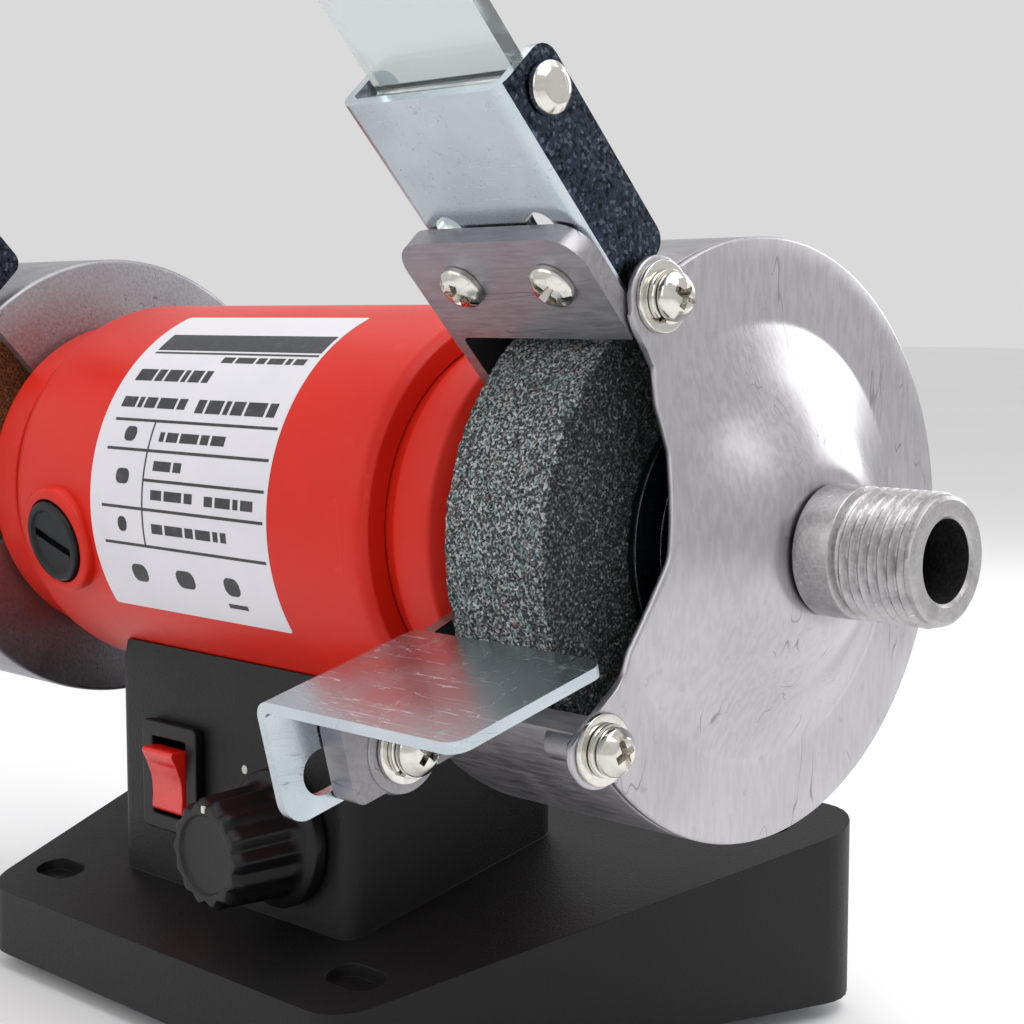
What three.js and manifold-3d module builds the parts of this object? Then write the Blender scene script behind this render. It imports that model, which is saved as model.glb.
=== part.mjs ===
// Mini bench grinder for 75 mm wheels: universal motor, two guarded wheels, adjustable tool
// rests and eye shields, and a threaded drive outlet for a flexible shaft on the right.
// Millimetres, +Z up, the operator stands at -Y, the motor axis runs along X.
// Everything is drawn around the motor axis first; the last lines set the whole machine on
// its feet with the origin at the bottom centre of its bounding box.
import * as THREE from 'three';
import { mergeVertices } from 'three/addons/utils/BufferGeometryUtils.js';
import Module from 'manifold-3d';

const wasm = await Module();
wasm.setup();

// ---- driving dimensions ----
const GAP = 0.3;                   // between pieces that rest on each other
const WHEEL_R = 37.5;              // 75 mm wheel
const WHEEL_W = 19.5;
const WHEEL_X = 71;                // inner face of the wheel, from the middle of the machine
const WHEEL_BORE_R = 5.2;
const SHAFT_R = 5;
const SHAFT_END_X = 100;           // end of the wheel thread
const DRIVE_TIP_X = 121;           // end of the drive tip, inside the outlet
const DRIVE_TIP_R = 4;

const MOTOR_R = 33.8;
const MOTOR_WALL = 2.5;
const MOTOR_HALF = 49.7;
const NECK_R = 30.3;
const NECK_END = 61.7;
const BEARING_R = 13;
const BEARING_W = 8;
const BEARING_X = 51.9;
const BRUSH_X = -32.8;
const BRUSH_TURN = THREE.MathUtils.degToRad(12.6);   // the brush line dips at the front
const STATOR_R = 31;
const STATOR_X0 = -16;
const STATOR_X1 = 26;
const ROTOR_R = 18;

const GUARD_X0 = 62;               // motor-side face of the guard
const GUARD_X1 = 98;               // outer face of the cover's flat rim
const GUARD_R = 43;
const GUARD_WALL = 3.5;
const PLATE_T = 2.2;
const COVER_T = 1.2;
const COVER_FOLD_R = 31.2;         // where the flat rim turns into the cone
const COVER_TIP_R = 10.5;
const COVER_RISE = 10.9;
const OPEN_TOP = THREE.MathUtils.degToRad(47);     // upper edge of the work opening
const OPEN_LOW = THREE.MathUtils.degToRad(-31);    // lower edge of the drum opening
const PLATE_LOW = THREE.MathUtils.degToRad(-21.5); // lower edge of the opening in the plate
const EAR_R = 5.5;
const EARS = [
  { name: 'upper', radius: 41.6, angle: THREE.MathUtils.degToRad(56) },
  { name: 'lower', radius: 42.2, angle: THREE.MathUtils.degToRad(-35) },
];

const LUG_TOP = 57;                // outer edge of the lug, from the motor axis
const LUG_LOW = 41;
const LUG_T = 3;
const LUG_SCREW_X = [71.5, 88.7];
const LUG_SCREW_R = 49.5;
const BRACKET_X0 = 65.5;
const BRACKET_X1 = 95.6;
const BRACKET_LOW = 43.5;
const BRACKET_TOP = 78;
const BRACKET_T = 1.5;
const BRACKET_SIDE = 11;
const PIVOT_R = 73;                // eye shield pivot, from the motor axis along the lug

const REST_BOLT = { y: -44.6, z: -26.5 };
const REST_TILT = THREE.MathUtils.degToRad(14);
const REST_X0 = 64.5;
const REST_X1 = 102.8;
const REST_T = 1.6;
const REST_FRONT = -18;            // the next four are from the bolt, along and across the rest
const REST_BACK = 9.2;
const REST_TOP = 13.2;
const REST_LOW = -5.4;
const SLOT_HALF = 3.2;
const SLOT_FRONT = -10.9;
const SLOT_BACK = 1.6;
const FLANGE_BACK = 6.6;           // the flange stops short of the drum's lower lip
const ARM_X0 = 66.4;
const ARM_T = 4.5;

const SPIGOT_R = 9.2;
const SPIGOT_BORE = 5.6;
const SPIGOT_LENGTH = 18.7;
const THREAD_PITCH = 1.5;
const THREADS = 7;

const BASE_Z = -84;                // bottom edge of the base shell
const FOOT_H = 3;
const COLUMN_HALF = 32.5;
const COLUMN_FRONT = -22;
const COLUMN_BACK = 26;
const SHELL_T = 2.6;
const PLAN = [[-82, 56], [-50, -40], [50, -40], [82, 56]];   // foot, seen from above
const FOOT_SLOPE = 0.2;            // the foot's top falls towards the front
const FOOT_TOP_AT_0 = -64.2;

const SWITCH = { x: -14, z: -49, w: 16, h: 19.4 };
const KNOB = { x: 16, z: -54, skirt: 11.5, grip: 9.6, length: 16 };

// ---- finishes ----
const finish = (color, roughness, metalness) => new THREE.MeshStandardMaterial({ color, roughness, metalness });
const RED = finish(0xc8281e, 0.45, 0);
const BLACK = finish(0x1b1b1d, 0.55, 0);
const RUBBER = finish(0x141414, 0.85, 0);
const CAST = finish(0xa8a7aa, 0.5, 0.9);
const SHEET = finish(0xb4b5b8, 0.4, 0.95);
const ZINC = finish(0xc4cdd2, 0.3, 1);
const STEEL = finish(0x9a9ca0, 0.35, 1);
const BLACKENED = finish(0x0d0e10, 0.35, 0.6);
const GREY_GRIT = finish(0x5c6466, 0.95, 0);
const BROWN_GRIT = finish(0xa3562c, 0.95, 0);
const COPPER = finish(0xb06a3c, 0.35, 1);
const LAMINATION = finish(0x6c6e72, 0.5, 0.8);
const CARBON = finish(0x202022, 0.7, 0.1);
const BOARD = finish(0x2c6a3c, 0.6, 0);
const CLEAR = finish(0xdfe8ea, 0.1, 0);
const ROCKER_RED = finish(0xd5261a, 0.35, 0);

// Facets round a turned piece: large shells, middling rings, small fasteners.
const LARGE = 40;
const MIDDLE = 24;
const SMALL = 12;

// ---- solids ----
function outward(geometry) {
  const bare = geometry.clone();
  bare.deleteAttribute('normal');
  bare.deleteAttribute('uv');
  const merged = mergeVertices(bare, 1e-4);
  const p = merged.attributes.position;
  const index = merged.index.array;
  const [a, b, c] = [new THREE.Vector3(), new THREE.Vector3(), new THREE.Vector3()];
  let volume = 0;
  const kept = [];
  for (let i = 0; i < index.length; i += 3) {
    const [i0, i1, i2] = index.slice(i, i + 3);
    if (i0 === i1 || i1 === i2 || i0 === i2) continue;
    kept.push(i0, i1, i2);
    volume += a.fromBufferAttribute(p, i0).dot(b.fromBufferAttribute(p, i1).cross(c.fromBufferAttribute(p, i2)));
  }
  if (volume < 0) kept.reverse();
  merged.setIndex(kept);
  return merged;
}

function toSolid(geometry) {
  const g = outward(geometry);
  const vertProperties = Float32Array.from(g.attributes.position.array);
  return new wasm.Manifold(new wasm.Mesh({ numProp: 3, vertProperties, triVerts: Uint32Array.from(g.index.array) }));
}

function toGeometry(solid) {
  const { vertProperties, triVerts } = solid.getMesh();
  const g = new THREE.BufferGeometry();
  g.setAttribute('position', new THREE.BufferAttribute(Float32Array.from(vertProperties), 3));
  g.setIndex(Array.from(triVerts));
  return g;
}

function join(first, ...others) {
  return toGeometry(others.reduce((sum, g) => sum.add(toSolid(g)), toSolid(first)));
}

function cut(first, ...others) {
  return toGeometry(others.reduce((rest, g) => rest.subtract(toSolid(g)), toSolid(first)));
}

// A closed profile of [radius, x] points turned about the X axis.
function turned(profile, segments = MIDDLE) {
  const points = profile.map(([r, x]) => new THREE.Vector2(r, x));
  return new THREE.LatheGeometry(points, segments).rotateZ(-Math.PI / 2);
}

function ring(inner, outer, x0, x1, segments = MIDDLE) {
  return turned([[inner, x0], [outer, x0], [outer, x1], [inner, x1], [inner, x0]], segments);
}

// A solid cylinder along X.
function rod(radius, x0, x1, segments = SMALL) {
  return new THREE.CylinderGeometry(radius, radius, x1 - x0, segments).rotateZ(Math.PI / 2).translate((x0 + x1) / 2, 0, 0);
}

function block(x0, x1, y0, y1, z0, z1) {
  return new THREE.BoxGeometry(x1 - x0, y1 - y0, z1 - z0).translate((x0 + x1) / 2, (y0 + y1) / 2, (z0 + z1) / 2);
}

// A polygon whose corners are rounded: corners are [u, v] or [u, v, radius].
function rounded(corners) {
  const shape = new THREE.Shape();
  const count = corners.length;
  corners.forEach(([u, v, radius = 0], i) => {
    const corner = new THREE.Vector2(u, v);
    const before = new THREE.Vector2(...corners[(i + count - 1) % count].slice(0, 2)).sub(corner).normalize();
    const after = new THREE.Vector2(...corners[(i + 1) % count].slice(0, 2)).sub(corner).normalize();
    const back = radius / Math.tan(Math.acos(THREE.MathUtils.clamp(before.dot(after), -1, 1)) / 2);
    const start = corner.clone().addScaledVector(before, back);
    const end = corner.clone().addScaledVector(after, back);
    if (i === 0) shape.moveTo(start.x, start.y);
    else shape.lineTo(start.x, start.y);
    if (radius > 0) shape.quadraticCurveTo(u, v, end.x, end.y);
  });
  shape.closePath();
  return shape;
}

// An outline in (Y, Z), pushed along X.
function profileYZ(shape, x0, x1, segments = 4) {
  const g = new THREE.ExtrudeGeometry(shape, { depth: x1 - x0, bevelEnabled: false, curveSegments: segments });
  const basis = new THREE.Matrix4().makeBasis(
    new THREE.Vector3(0, 1, 0), new THREE.Vector3(0, 0, 1), new THREE.Vector3(1, 0, 0));
  return g.applyMatrix4(basis).translate(x0, 0, 0);
}

// An outline in (X, Z), pushed towards -Y from y1 down to y0.
function profileXZ(shape, y0, y1, segments = 4) {
  const g = new THREE.ExtrudeGeometry(shape, { depth: y1 - y0, bevelEnabled: false, curveSegments: segments });
  const basis = new THREE.Matrix4().makeBasis(
    new THREE.Vector3(1, 0, 0), new THREE.Vector3(0, 0, 1), new THREE.Vector3(0, -1, 0));
  return g.applyMatrix4(basis).translate(0, y1, 0);
}

function hexagon(radius, holeRadius = 0) {
  const shape = new THREE.Shape();
  for (let k = 0; k < 6; k += 1) {
    const a = (k * Math.PI) / 3;
    const step = k ? 'lineTo' : 'moveTo';
    shape[step](radius * Math.cos(a), radius * Math.sin(a));
  }
  shape.closePath();
  if (holeRadius > 0) shape.holes.push(new THREE.Path().absarc(0, 0, holeRadius, 0, Math.PI * 2, true));
  return shape;
}

function mirrored(geometry) {
  const g = outward(geometry).scale(-1, 1, 1);
  return outward(g);
}

function part(name, geometry, material, place = {}) {
  const mesh = new THREE.Mesh(outward(geometry), material);
  mesh.name = name;
  const { x = 0, y = 0, z = 0, turnX = 0 } = place;
  mesh.position.set(x, y, z);
  mesh.rotation.x = turnX;
  return mesh;
}

// The point at a radius and an angle above the front of the motor axis.
function polar(radius, angle) {
  return { y: -radius * Math.cos(angle), z: radius * Math.sin(angle) };
}

// A wedge between two directions, seen along X.
function sector(low, high, inner, outer) {
  const shape = new THREE.Shape();
  const points = [];
  for (const [radius, from, to] of [[outer, low, high], [inner, high, low]]) {
    for (let k = 0; k <= 8; k += 1) points.push(polar(radius, from + ((to - from) * k) / 8));
  }
  points.forEach(({ y, z }, i) => (i ? shape.lineTo(y, z) : shape.moveTo(y, z)));
  shape.closePath();
  return shape;
}

// Lug pieces are drawn upright, Z along the lug and Y behind it, then leaned forward.
const LEAN = Math.PI / 2 - OPEN_TOP;
const leaned = (geometry) => geometry.rotateX(LEAN);

// Rest pieces are drawn level around the bolt, then tilted and carried to it.
const onRest = (geometry) => geometry.rotateX(REST_TILT).translate(0, REST_BOLT.y, REST_BOLT.z);

// ---- rotor ----
function rotorShaft() {
  const socket = 2;
  const seat = 6.2;
  const body = turned([
    [0, -SHAFT_END_X], [SHAFT_R - 0.8, -SHAFT_END_X], [SHAFT_R, -SHAFT_END_X + 1], [SHAFT_R, -44],
    [seat, -44], [seat, 48], [SHAFT_R, 48], [SHAFT_R, SHAFT_END_X],
    [DRIVE_TIP_R, SHAFT_END_X], [DRIVE_TIP_R, DRIVE_TIP_X], [0, DRIVE_TIP_X]], 20);
  return cut(body, block(DRIVE_TIP_X - 8, DRIVE_TIP_X + 1, -socket, socket, -socket, socket));
}

function armature() {
  const slots = 10;
  const core = ring(6.4, ROTOR_R, STATOR_X0 + 0.5, STATOR_X1 - 0.5, 36);
  const grooves = [];
  for (let k = 0; k < slots; k += 1) {
    grooves.push(block(STATOR_X0 - 1, STATOR_X1 + 1, -0.9, 0.9, ROTOR_R - 4, ROTOR_R + 1)
      .rotateX((k * 2 * Math.PI) / slots));
  }
  const heads = ring(6.4, 13.2, STATOR_X0 - 5, STATOR_X1 + 5, 20);
  const commutator = ring(6.4, 9, -36, STATOR_X0 - 4.9, 20);
  return join(cut(core, ...grooves), heads, commutator);
}

function coolingFan() {
  const blades = 8;
  const hub = ring(6.4, 11, 33, 43, 16);
  const disc = ring(6.4, 25, 41, 43, 24);
  const vanes = [];
  for (let k = 0; k < blades; k += 1) {
    vanes.push(block(34, 42, -0.8, 0.8, 9, 24).rotateX((k * 2 * Math.PI) / blades));
  }
  return join(hub, disc, ...vanes);
}

function wheel() {
  const r = WHEEL_R;
  const [x0, x1] = [WHEEL_X, WHEEL_X + WHEEL_W];
  return turned([
    [WHEEL_BORE_R, x0], [r - 0.6, x0], [r, x0 + 0.6], [r, x1 - 0.6], [r - 0.6, x1],
    [WHEEL_BORE_R, x1], [WHEEL_BORE_R, x0]], LARGE);
}

function innerFlange() {
  return turned([
    [SHAFT_R + 0.1, 65.4], [12, 65.4], [21, 68.9], [21, WHEEL_X - GAP], [SHAFT_R + 0.1, WHEEL_X - GAP],
    [SHAFT_R + 0.1, 65.4]]);
}

function outerFlange() {
  const x = WHEEL_X + WHEEL_W + GAP;
  return turned([
    [SHAFT_R + 0.1, x], [21.2, x], [21.2, x + 1.2], [14, x + 2.6], [SHAFT_R + 0.1, x + 2.6],
    [SHAFT_R + 0.1, x]]);
}

function wheelNut() {
  const x = WHEEL_X + WHEEL_W + GAP + 2.6 + GAP;
  return profileYZ(hexagon(9.2, SHAFT_R + 0.35), x, x + 6, 6);
}

// ---- motor ----
function brushBore(radius, from, to) {
  const bore = new THREE.CylinderGeometry(radius, radius, to - from, 20).translate(0, -(from + to) / 2, 0);
  return bore.translate(BRUSH_X, 0, 0).rotateX(BRUSH_TURN);
}

function rearBrush(geometry) {
  return geometry.rotateX(Math.PI);
}

function motorHousing() {
  const inner = MOTOR_R - MOTOR_WALL;
  const lip = 29.3;
  const end = MOTOR_HALF;
  const round = 4.6;
  const profile = [[lip, end], [MOTOR_R - 1.6, end], [MOTOR_R - 0.4, end - 0.5], [MOTOR_R, end - 1.8]];
  for (let k = 0; k <= 3; k += 1) {
    const a = (k * Math.PI) / 6;
    profile.push([MOTOR_R - round + round * Math.cos(a), -end + round - round * Math.sin(a)]);
  }
  profile.push([lip, -end], [lip, -end + 3], [inner, -end + 5.4], [inner, end - 3.4], [lip, end - 3.4], [lip, end]);
  const shell = turned(profile, LARGE);
  const bosses = [brushBore(9.6, 30, 35), rearBrush(brushBore(9.6, 30, 35))];
  const holes = [brushBore(7.7, 26, 40), rearBrush(brushBore(7.7, 26, 40))];
  return cut(join(shell, ...bosses), ...holes);
}

function endCap() {
  const rim = 29;
  const web = 48;
  const pocket = BEARING_R + 0.2;
  return turned([
    [6.5, NECK_END], [NECK_R, NECK_END], [NECK_R, 52.4], [rim, 52.4], [rim, 46.8], [rim - 2, 46.8],
    [rim - 2, 51.2], [16, 51.2], [16, web], [pocket, web], [pocket, BEARING_X + BEARING_W + 0.1],
    [6.5, BEARING_X + BEARING_W + 0.1], [6.5, NECK_END]], 36);
}

function bearing() {
  return ring(SHAFT_R + 0.15, BEARING_R, BEARING_X, BEARING_X + BEARING_W);
}

function statorCore() {
  const bore = ROTOR_R + 0.7;
  const yoke = ring(26.5, STATOR_R, STATOR_X0, STATOR_X1, 36);
  const pole = block(STATOR_X0, STATOR_X1, -10.8, 10.8, -28, 28);
  const bored = cut(pole, rod(bore, STATOR_X0 - 1, STATOR_X1 + 1, 36));
  return join(yoke, bored);
}

function fieldCoil() {
  const outer = block(STATOR_X0 - 5.4, STATOR_X1 + 5.4, -16, 16, 15.4, 20);
  const window = block(STATOR_X0 - 0.6, STATOR_X1 + 0.6, -11.4, 11.4, 14, 21);
  return cut(outer, window);
}

function brushCap() {
  const cap = brushBore(7.4, 31.8, 36.2);
  const slot = block(BRUSH_X - 5.5, BRUSH_X + 5.5, -37, -34.9, -0.8, 0.8).rotateX(BRUSH_TURN);
  return cut(cap, slot);
}

function carbonBrush() {
  return block(BRUSH_X - 3.1, BRUSH_X + 3.1, -22, -9.4, -2.5, 2.5).rotateX(BRUSH_TURN);
}

// ---- guards ----
function earBoss(ear, radius, x0, x1, segments = SMALL) {
  const { y, z } = polar(ear.radius, ear.angle);
  return rod(radius, x0, x1, segments).translate(0, y, z);
}

function lugBlank() {
  const shape = rounded([
    [GUARD_X0, LUG_LOW], [GUARD_X1 - COVER_T - GAP, LUG_LOW],
    [GUARD_X1 - COVER_T - GAP, LUG_TOP, 5], [GUARD_X0, LUG_TOP, 5]]);
  return leaned(profileXZ(shape, 0, LUG_T));
}

function lugHole(x) {
  return leaned(new THREE.CylinderGeometry(2.3, 2.3, LUG_T + 2, SMALL).translate(x, LUG_T / 2, LUG_SCREW_R));
}

function restArm() {
  const shape = rounded([[-10, -5, 1.5], [16, -5], [16, 8.5], [-10, 8.5, 2.5]]);
  const arm = onRest(profileYZ(shape, ARM_X0, ARM_X0 + ARM_T));
  return cut(arm, rod(GUARD_R - GUARD_WALL, ARM_X0 - 1, ARM_X0 + ARM_T + 1, LARGE));
}

function guardBody() {
  const x1 = GUARD_X1 - COVER_T - GAP;
  const inner = GUARD_R - GUARD_WALL;
  const drum = turned([
    [14, GUARD_X0], [GUARD_R - 1, GUARD_X0], [GUARD_R, GUARD_X0 + 1], [GUARD_R, x1], [inner, x1],
    [inner, GUARD_X0 + PLATE_T], [14, GUARD_X0 + PLATE_T], [14, GUARD_X0]], LARGE);
  const opened = cut(
    drum,
    profileYZ(sector(OPEN_LOW, OPEN_TOP, 20, 70), GUARD_X0 + PLATE_T - 0.01, x1 + 1),
    profileYZ(sector(PLATE_LOW, OPEN_TOP, NECK_R - 0.7, 70), GUARD_X0 - 1, GUARD_X0 + PLATE_T + 1));
  const bosses = EARS.map((ear) => earBoss(ear, 2.6, WHEEL_X + WHEEL_W + 1, x1));
  const whole = join(opened, lugBlank(), restArm(), ...bosses);
  const passage = leaned(block(BRACKET_X0 - GAP, BRACKET_X1 + GAP, LUG_T, LUG_T + BRACKET_T + 1.1, 35, 47));
  const screwHoles = EARS.map((ear) => earBoss(ear, 1.8, WHEEL_X + WHEEL_W - 2, x1 + 1));
  const boltHole = rod(2.8, ARM_X0 - 1, ARM_X0 + ARM_T + 1).translate(0, REST_BOLT.y, REST_BOLT.z);
  return cut(whole, passage, ...LUG_SCREW_X.map(lugHole), ...screwHoles, boltHole);
}

// The pressed cover: flat rim, cone, and a small flat top with or without a hole.
function guardCover(holeRadius) {
  const face = GUARD_X1;
  const back = face - COVER_T;
  const top = face + COVER_RISE;
  const swell = [[24, 0.27], [15, 0.82]].map(([r, share]) => [r, share * COVER_RISE]);
  const outer = swell.map(([r, rise]) => [r, face + rise]);
  const under = swell.map(([r, rise]) => [r, back + rise]).reverse();
  const profile = [
    [holeRadius, top], [COVER_TIP_R, top], ...outer.reverse(), [COVER_FOLD_R, face], [GUARD_R, face],
    [GUARD_R, back], [COVER_FOLD_R, back], ...under.reverse(), [COVER_TIP_R, top - COVER_T],
    [holeRadius, top - COVER_T]];
  if (holeRadius > 0) profile.push([holeRadius, top]);
  const disc = turned(profile, LARGE);
  const notch = rounded([
    [-70, 75.1], [-24.2, 25.9, 4], [-22.8, 14, 6], [-24, 0, 8], [-29.8, -15.2, 3], [-70, -52]]);
  const opened = cut(disc, profileYZ(notch, back - 1, top + 1));
  const ears = EARS.map((ear) => earBoss(ear, EAR_R, back, face, MIDDLE));
  const holes = EARS.map((ear) => earBoss(ear, 2.2, back - 1, face + 1));
  return cut(join(opened, ...ears), ...holes);
}

function drivenSpigot() {
  const x0 = GUARD_X1 + COVER_RISE + GAP;
  const x1 = x0 + SPIGOT_LENGTH;
  const neck = 6.9;
  const lip = 8.6;
  const root = SPIGOT_R - 1;
  const start = x1 - 1.3 - THREADS * THREAD_PITCH;
  const profile = [
    [SPIGOT_BORE, x0 - 3.6], [lip, x0 - 3.6], [lip, x0 - COVER_T - 2 * GAP], [neck, x0 - COVER_T - 2 * GAP],
    [neck, x0], [SPIGOT_R, x0], [SPIGOT_R, start - 0.8], [root, start - 0.4]];
  for (let k = 0; k < THREADS; k += 1) {
    const x = start + k * THREAD_PITCH;
    profile.push([root, x], [SPIGOT_R - 0.1, x + 0.6], [root, x + 1.2]);
  }
  profile.push([root + 0.2, x1 - 0.6], [root - 0.4, x1], [SPIGOT_BORE, x1], [SPIGOT_BORE, x0 - 3.6]);
  return turned(profile, 20);
}

// Pan head screw with spring washer and flat washer, along +X from its seat at x = 0.
function panScrew(shank, length, head, height, washer) {
  const body = turned([
    [0, -length], [shank, -length], [shank, GAP], [washer, GAP], [washer, 1.1], [head * 0.93, 1.1],
    [head, 2.1], [head, 2.1 + height * 0.4], [head * 0.7, 2.1 + height * 0.9], [0, 2.1 + height]], SMALL);
  const slot = block(2.1 + height * 0.45, 3.1 + height, -0.5, 0.5, -head * 0.62, head * 0.62);
  return cut(body, slot);
}

// ---- eye shield and its bracket ----
function shieldBracket() {
  const y0 = LUG_T + GAP;
  const plate = profileXZ(rounded([
    [BRACKET_X0, BRACKET_LOW, 1], [BRACKET_X1, BRACKET_LOW, 1], [BRACKET_X1, BRACKET_TOP], [BRACKET_X0, BRACKET_TOP]]),
  y0, y0 + BRACKET_T);
  const side = rounded([
    [y0, BRACKET_LOW + 0.5], [y0 + BRACKET_SIDE, BRACKET_LOW + 0.5, 2.5],
    [y0 + BRACKET_SIDE, BRACKET_TOP, 3], [y0, BRACKET_TOP]]);
  const sides = [BRACKET_X0, BRACKET_X1 - BRACKET_T].map((x) => profileYZ(side, x, x + BRACKET_T));
  const slots = LUG_SCREW_X.map((x) => profileXZ(rounded([
    [x - 2.4, LUG_SCREW_R - 4.2, 2.39], [x + 2.4, LUG_SCREW_R - 4.2, 2.39],
    [x + 2.4, LUG_SCREW_R + 9.3, 2.39], [x - 2.4, LUG_SCREW_R + 9.3, 2.39]]), y0 - 1, y0 + BRACKET_T + 1, 5));
  const pivot = rod(1.9, BRACKET_X0 - 1, BRACKET_X1 + 1).translate(0, y0 + 6.5, PIVOT_R);
  return leaned(cut(join(plate, ...sides), ...slots, pivot));
}

// Screw through the lug and the bracket's slot, with its washer and nut behind.
function bracketScrew(x) {
  const behind = LUG_T + GAP + BRACKET_T + GAP;
  const screw = panScrew(1.9, behind + 5.5, 3.4, 2.2, 4.4).rotateZ(-Math.PI / 2);
  const washer = new THREE.CylinderGeometry(4.3, 4.3, 0.9, SMALL).translate(0, behind + 0.45, 0);
  const nut = profileXZ(hexagon(4.1), behind + 0.8, behind + 4, 2);
  return leaned(join(screw, washer, nut).translate(x, 0, LUG_SCREW_R));
}

function eyeShield() {
  const y0 = LUG_T + GAP + 6.5;
  const [x0, x1] = [BRACKET_X0 + BRACKET_T + 0.5, BRACKET_X1 - BRACKET_T - 0.5];
  const barrel = cut(
    rod(3.6, x0, x1, 16).translate(0, y0, PIVOT_R),
    rod(2, x0 - 1, x1 + 1).translate(0, y0, PIVOT_R));
  const pane = profileXZ(rounded([
    [x0, PIVOT_R + 2.6], [x1, PIVOT_R + 2.6], [x1, PIVOT_R + 34, 6], [x0, PIVOT_R + 34, 6]]), y0 - 1.2, y0 + 1.2);
  return leaned(join(barrel, pane));
}

function shieldPin() {
  const [x0, x1] = [BRACKET_X0 - GAP, BRACKET_X1 + GAP];
  const pin = turned([
    [0, x0 - 2], [3, x0 - 2], [3.4, x0 - 1.4], [3.4, x0], [1.7, x0], [1.7, x1], [3.4, x1], [3.4, x1 + 1.4],
    [3, x1 + 2], [0, x1 + 2]], SMALL);
  return leaned(pin.translate(0, LUG_T + GAP + 6.5, PIVOT_R));
}

// ---- tool rest ----
function toolRest() {
  const top = profileYZ(rounded([
    [REST_FRONT, REST_TOP - REST_T], [REST_BACK, REST_TOP - REST_T], [REST_BACK, REST_TOP, 0.3],
    [REST_FRONT, REST_TOP, 0.7]]), REST_X0, REST_X1);
  const keep = 60;
  const corner = (y, sign) => {
    const square = block(REST_X1 - 2.5, REST_X1 + 1, Math.min(y, y - sign * 2.5), Math.max(y, y - sign * 2.5), 5, keep);
    const round = new THREE.CylinderGeometry(2.5, 2.5, keep, 24).rotateX(Math.PI / 2)
      .translate(REST_X1 - 2.5, y - sign * 2.5, 20);
    return cut(square, round);
  };
  const plate = cut(top, corner(REST_FRONT, -1), corner(REST_BACK, 1));
  const bend = 1.4;
  const flange = profileYZ(rounded([
    [REST_FRONT, REST_LOW, 3.5], [FLANGE_BACK, REST_LOW, 3], [FLANGE_BACK, REST_TOP - 0.6], [REST_FRONT, REST_TOP - 0.6]]),
  REST_X0, REST_X0 + REST_T);
  const bevel = profileXZ(rounded([
    [REST_X0 - 1, REST_TOP - bend], [REST_X0, REST_TOP - bend], [REST_X0 + 0.4, REST_TOP - 0.4],
    [REST_X0 + bend, REST_TOP], [REST_X0 + bend, REST_TOP + 1], [REST_X0 - 1, REST_TOP + 1]]),
  REST_FRONT - 1, REST_BACK + 1);
  const slot = profileYZ(rounded([
    [SLOT_FRONT - SLOT_HALF, -SLOT_HALF, SLOT_HALF - 0.01], [SLOT_BACK + SLOT_HALF, -SLOT_HALF, SLOT_HALF - 0.01],
    [SLOT_BACK + SLOT_HALF, SLOT_HALF, SLOT_HALF - 0.01], [SLOT_FRONT - SLOT_HALF, SLOT_HALF, SLOT_HALF - 0.01]]),
  REST_X0 - 1, REST_X0 + REST_T + 1, 5);
  return onRest(cut(join(plate, flange), bevel, slot));
}

function restBolt() {
  const head = ARM_X0 + ARM_T;
  const nutX = REST_X0 - GAP - 1.2 - GAP;
  const screw = panScrew(2.4, head - nutX + 5.2, 3.8, 2.6, 5.2).translate(head, 0, 0);
  const nut = profileYZ(hexagon(4.9), nutX - 4, nutX, 2);
  return onRest(join(screw, nut));
}

function restWasher() {
  return onRest(ring(2.7, 5.6, REST_X0 - GAP - 1.2, REST_X0 - GAP, 16));
}

// ---- base ----
// The foot: a plan outline whose top falls towards the front.
function wedge(inset, bottom, drop) {
  const shape = rounded(PLAN.map(([x, y]) => [x - Math.sign(x) * inset, y - Math.sign(y) * inset, 9 - inset]));
  const tall = new THREE.ExtrudeGeometry(shape, { depth: 60, bevelEnabled: false, curveSegments: 4 }).translate(0, 0, bottom);
  const over = block(-100, 100, -100, 100, 0, 80).rotateX(Math.atan(FOOT_SLOPE)).translate(0, 0, FOOT_TOP_AT_0 - drop);
  return cut(tall, over);
}

function baseShell() {
  const column = profileXZ(rounded([
    [-COLUMN_HALF, BASE_Z + 4], [COLUMN_HALF, BASE_Z + 4], [COLUMN_HALF, -30], [COLUMN_HALF - 3, -20],
    [-COLUMN_HALF + 3, -20], [-COLUMN_HALF, -30]]), COLUMN_FRONT, COLUMN_BACK);
  const hollow = block(
    -COLUMN_HALF + SHELL_T, COLUMN_HALF - SHELL_T, COLUMN_FRONT + SHELL_T, COLUMN_BACK - SHELL_T, BASE_Z - 1, -38);
  const saddle = rod(MOTOR_R + GAP, -60, 60, LARGE);
  const switchHole = block(
    SWITCH.x - 6.2, SWITCH.x + 6.2, COLUMN_FRONT - 1, COLUMN_FRONT + SHELL_T + 1, SWITCH.z - 8, SWITCH.z + 8);
  const knobHole = new THREE.CylinderGeometry(3.8, 3.8, SHELL_T + 2, 20).translate(KNOB.x, COLUMN_FRONT + SHELL_T / 2, KNOB.z);
  const glandHole = new THREE.CylinderGeometry(4.6, 4.6, 12, 20).translate(0, 54, -66);
  const outside = join(column, wedge(0, BASE_Z, 0));
  return cut(outside, hollow, wedge(SHELL_T, BASE_Z - 1, SHELL_T), saddle, switchHole, knobHole, glandHole);
}

function basePlate() {
  const inset = SHELL_T + GAP;
  const shape = rounded(PLAN.map(([x, y]) => [x - Math.sign(x) * inset, y - Math.sign(y) * inset, 9 - inset]));
  return new THREE.ExtrudeGeometry(shape, { depth: 2, bevelEnabled: false, curveSegments: 4 }).translate(0, 0, BASE_Z);
}

function rubberFoot() {
  return turned([[0, 0], [7.5, 0], [8, 0.6], [8, FOOT_H - GAP], [0, FOOT_H - GAP]], 20).rotateY(-Math.PI / 2);
}

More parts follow.
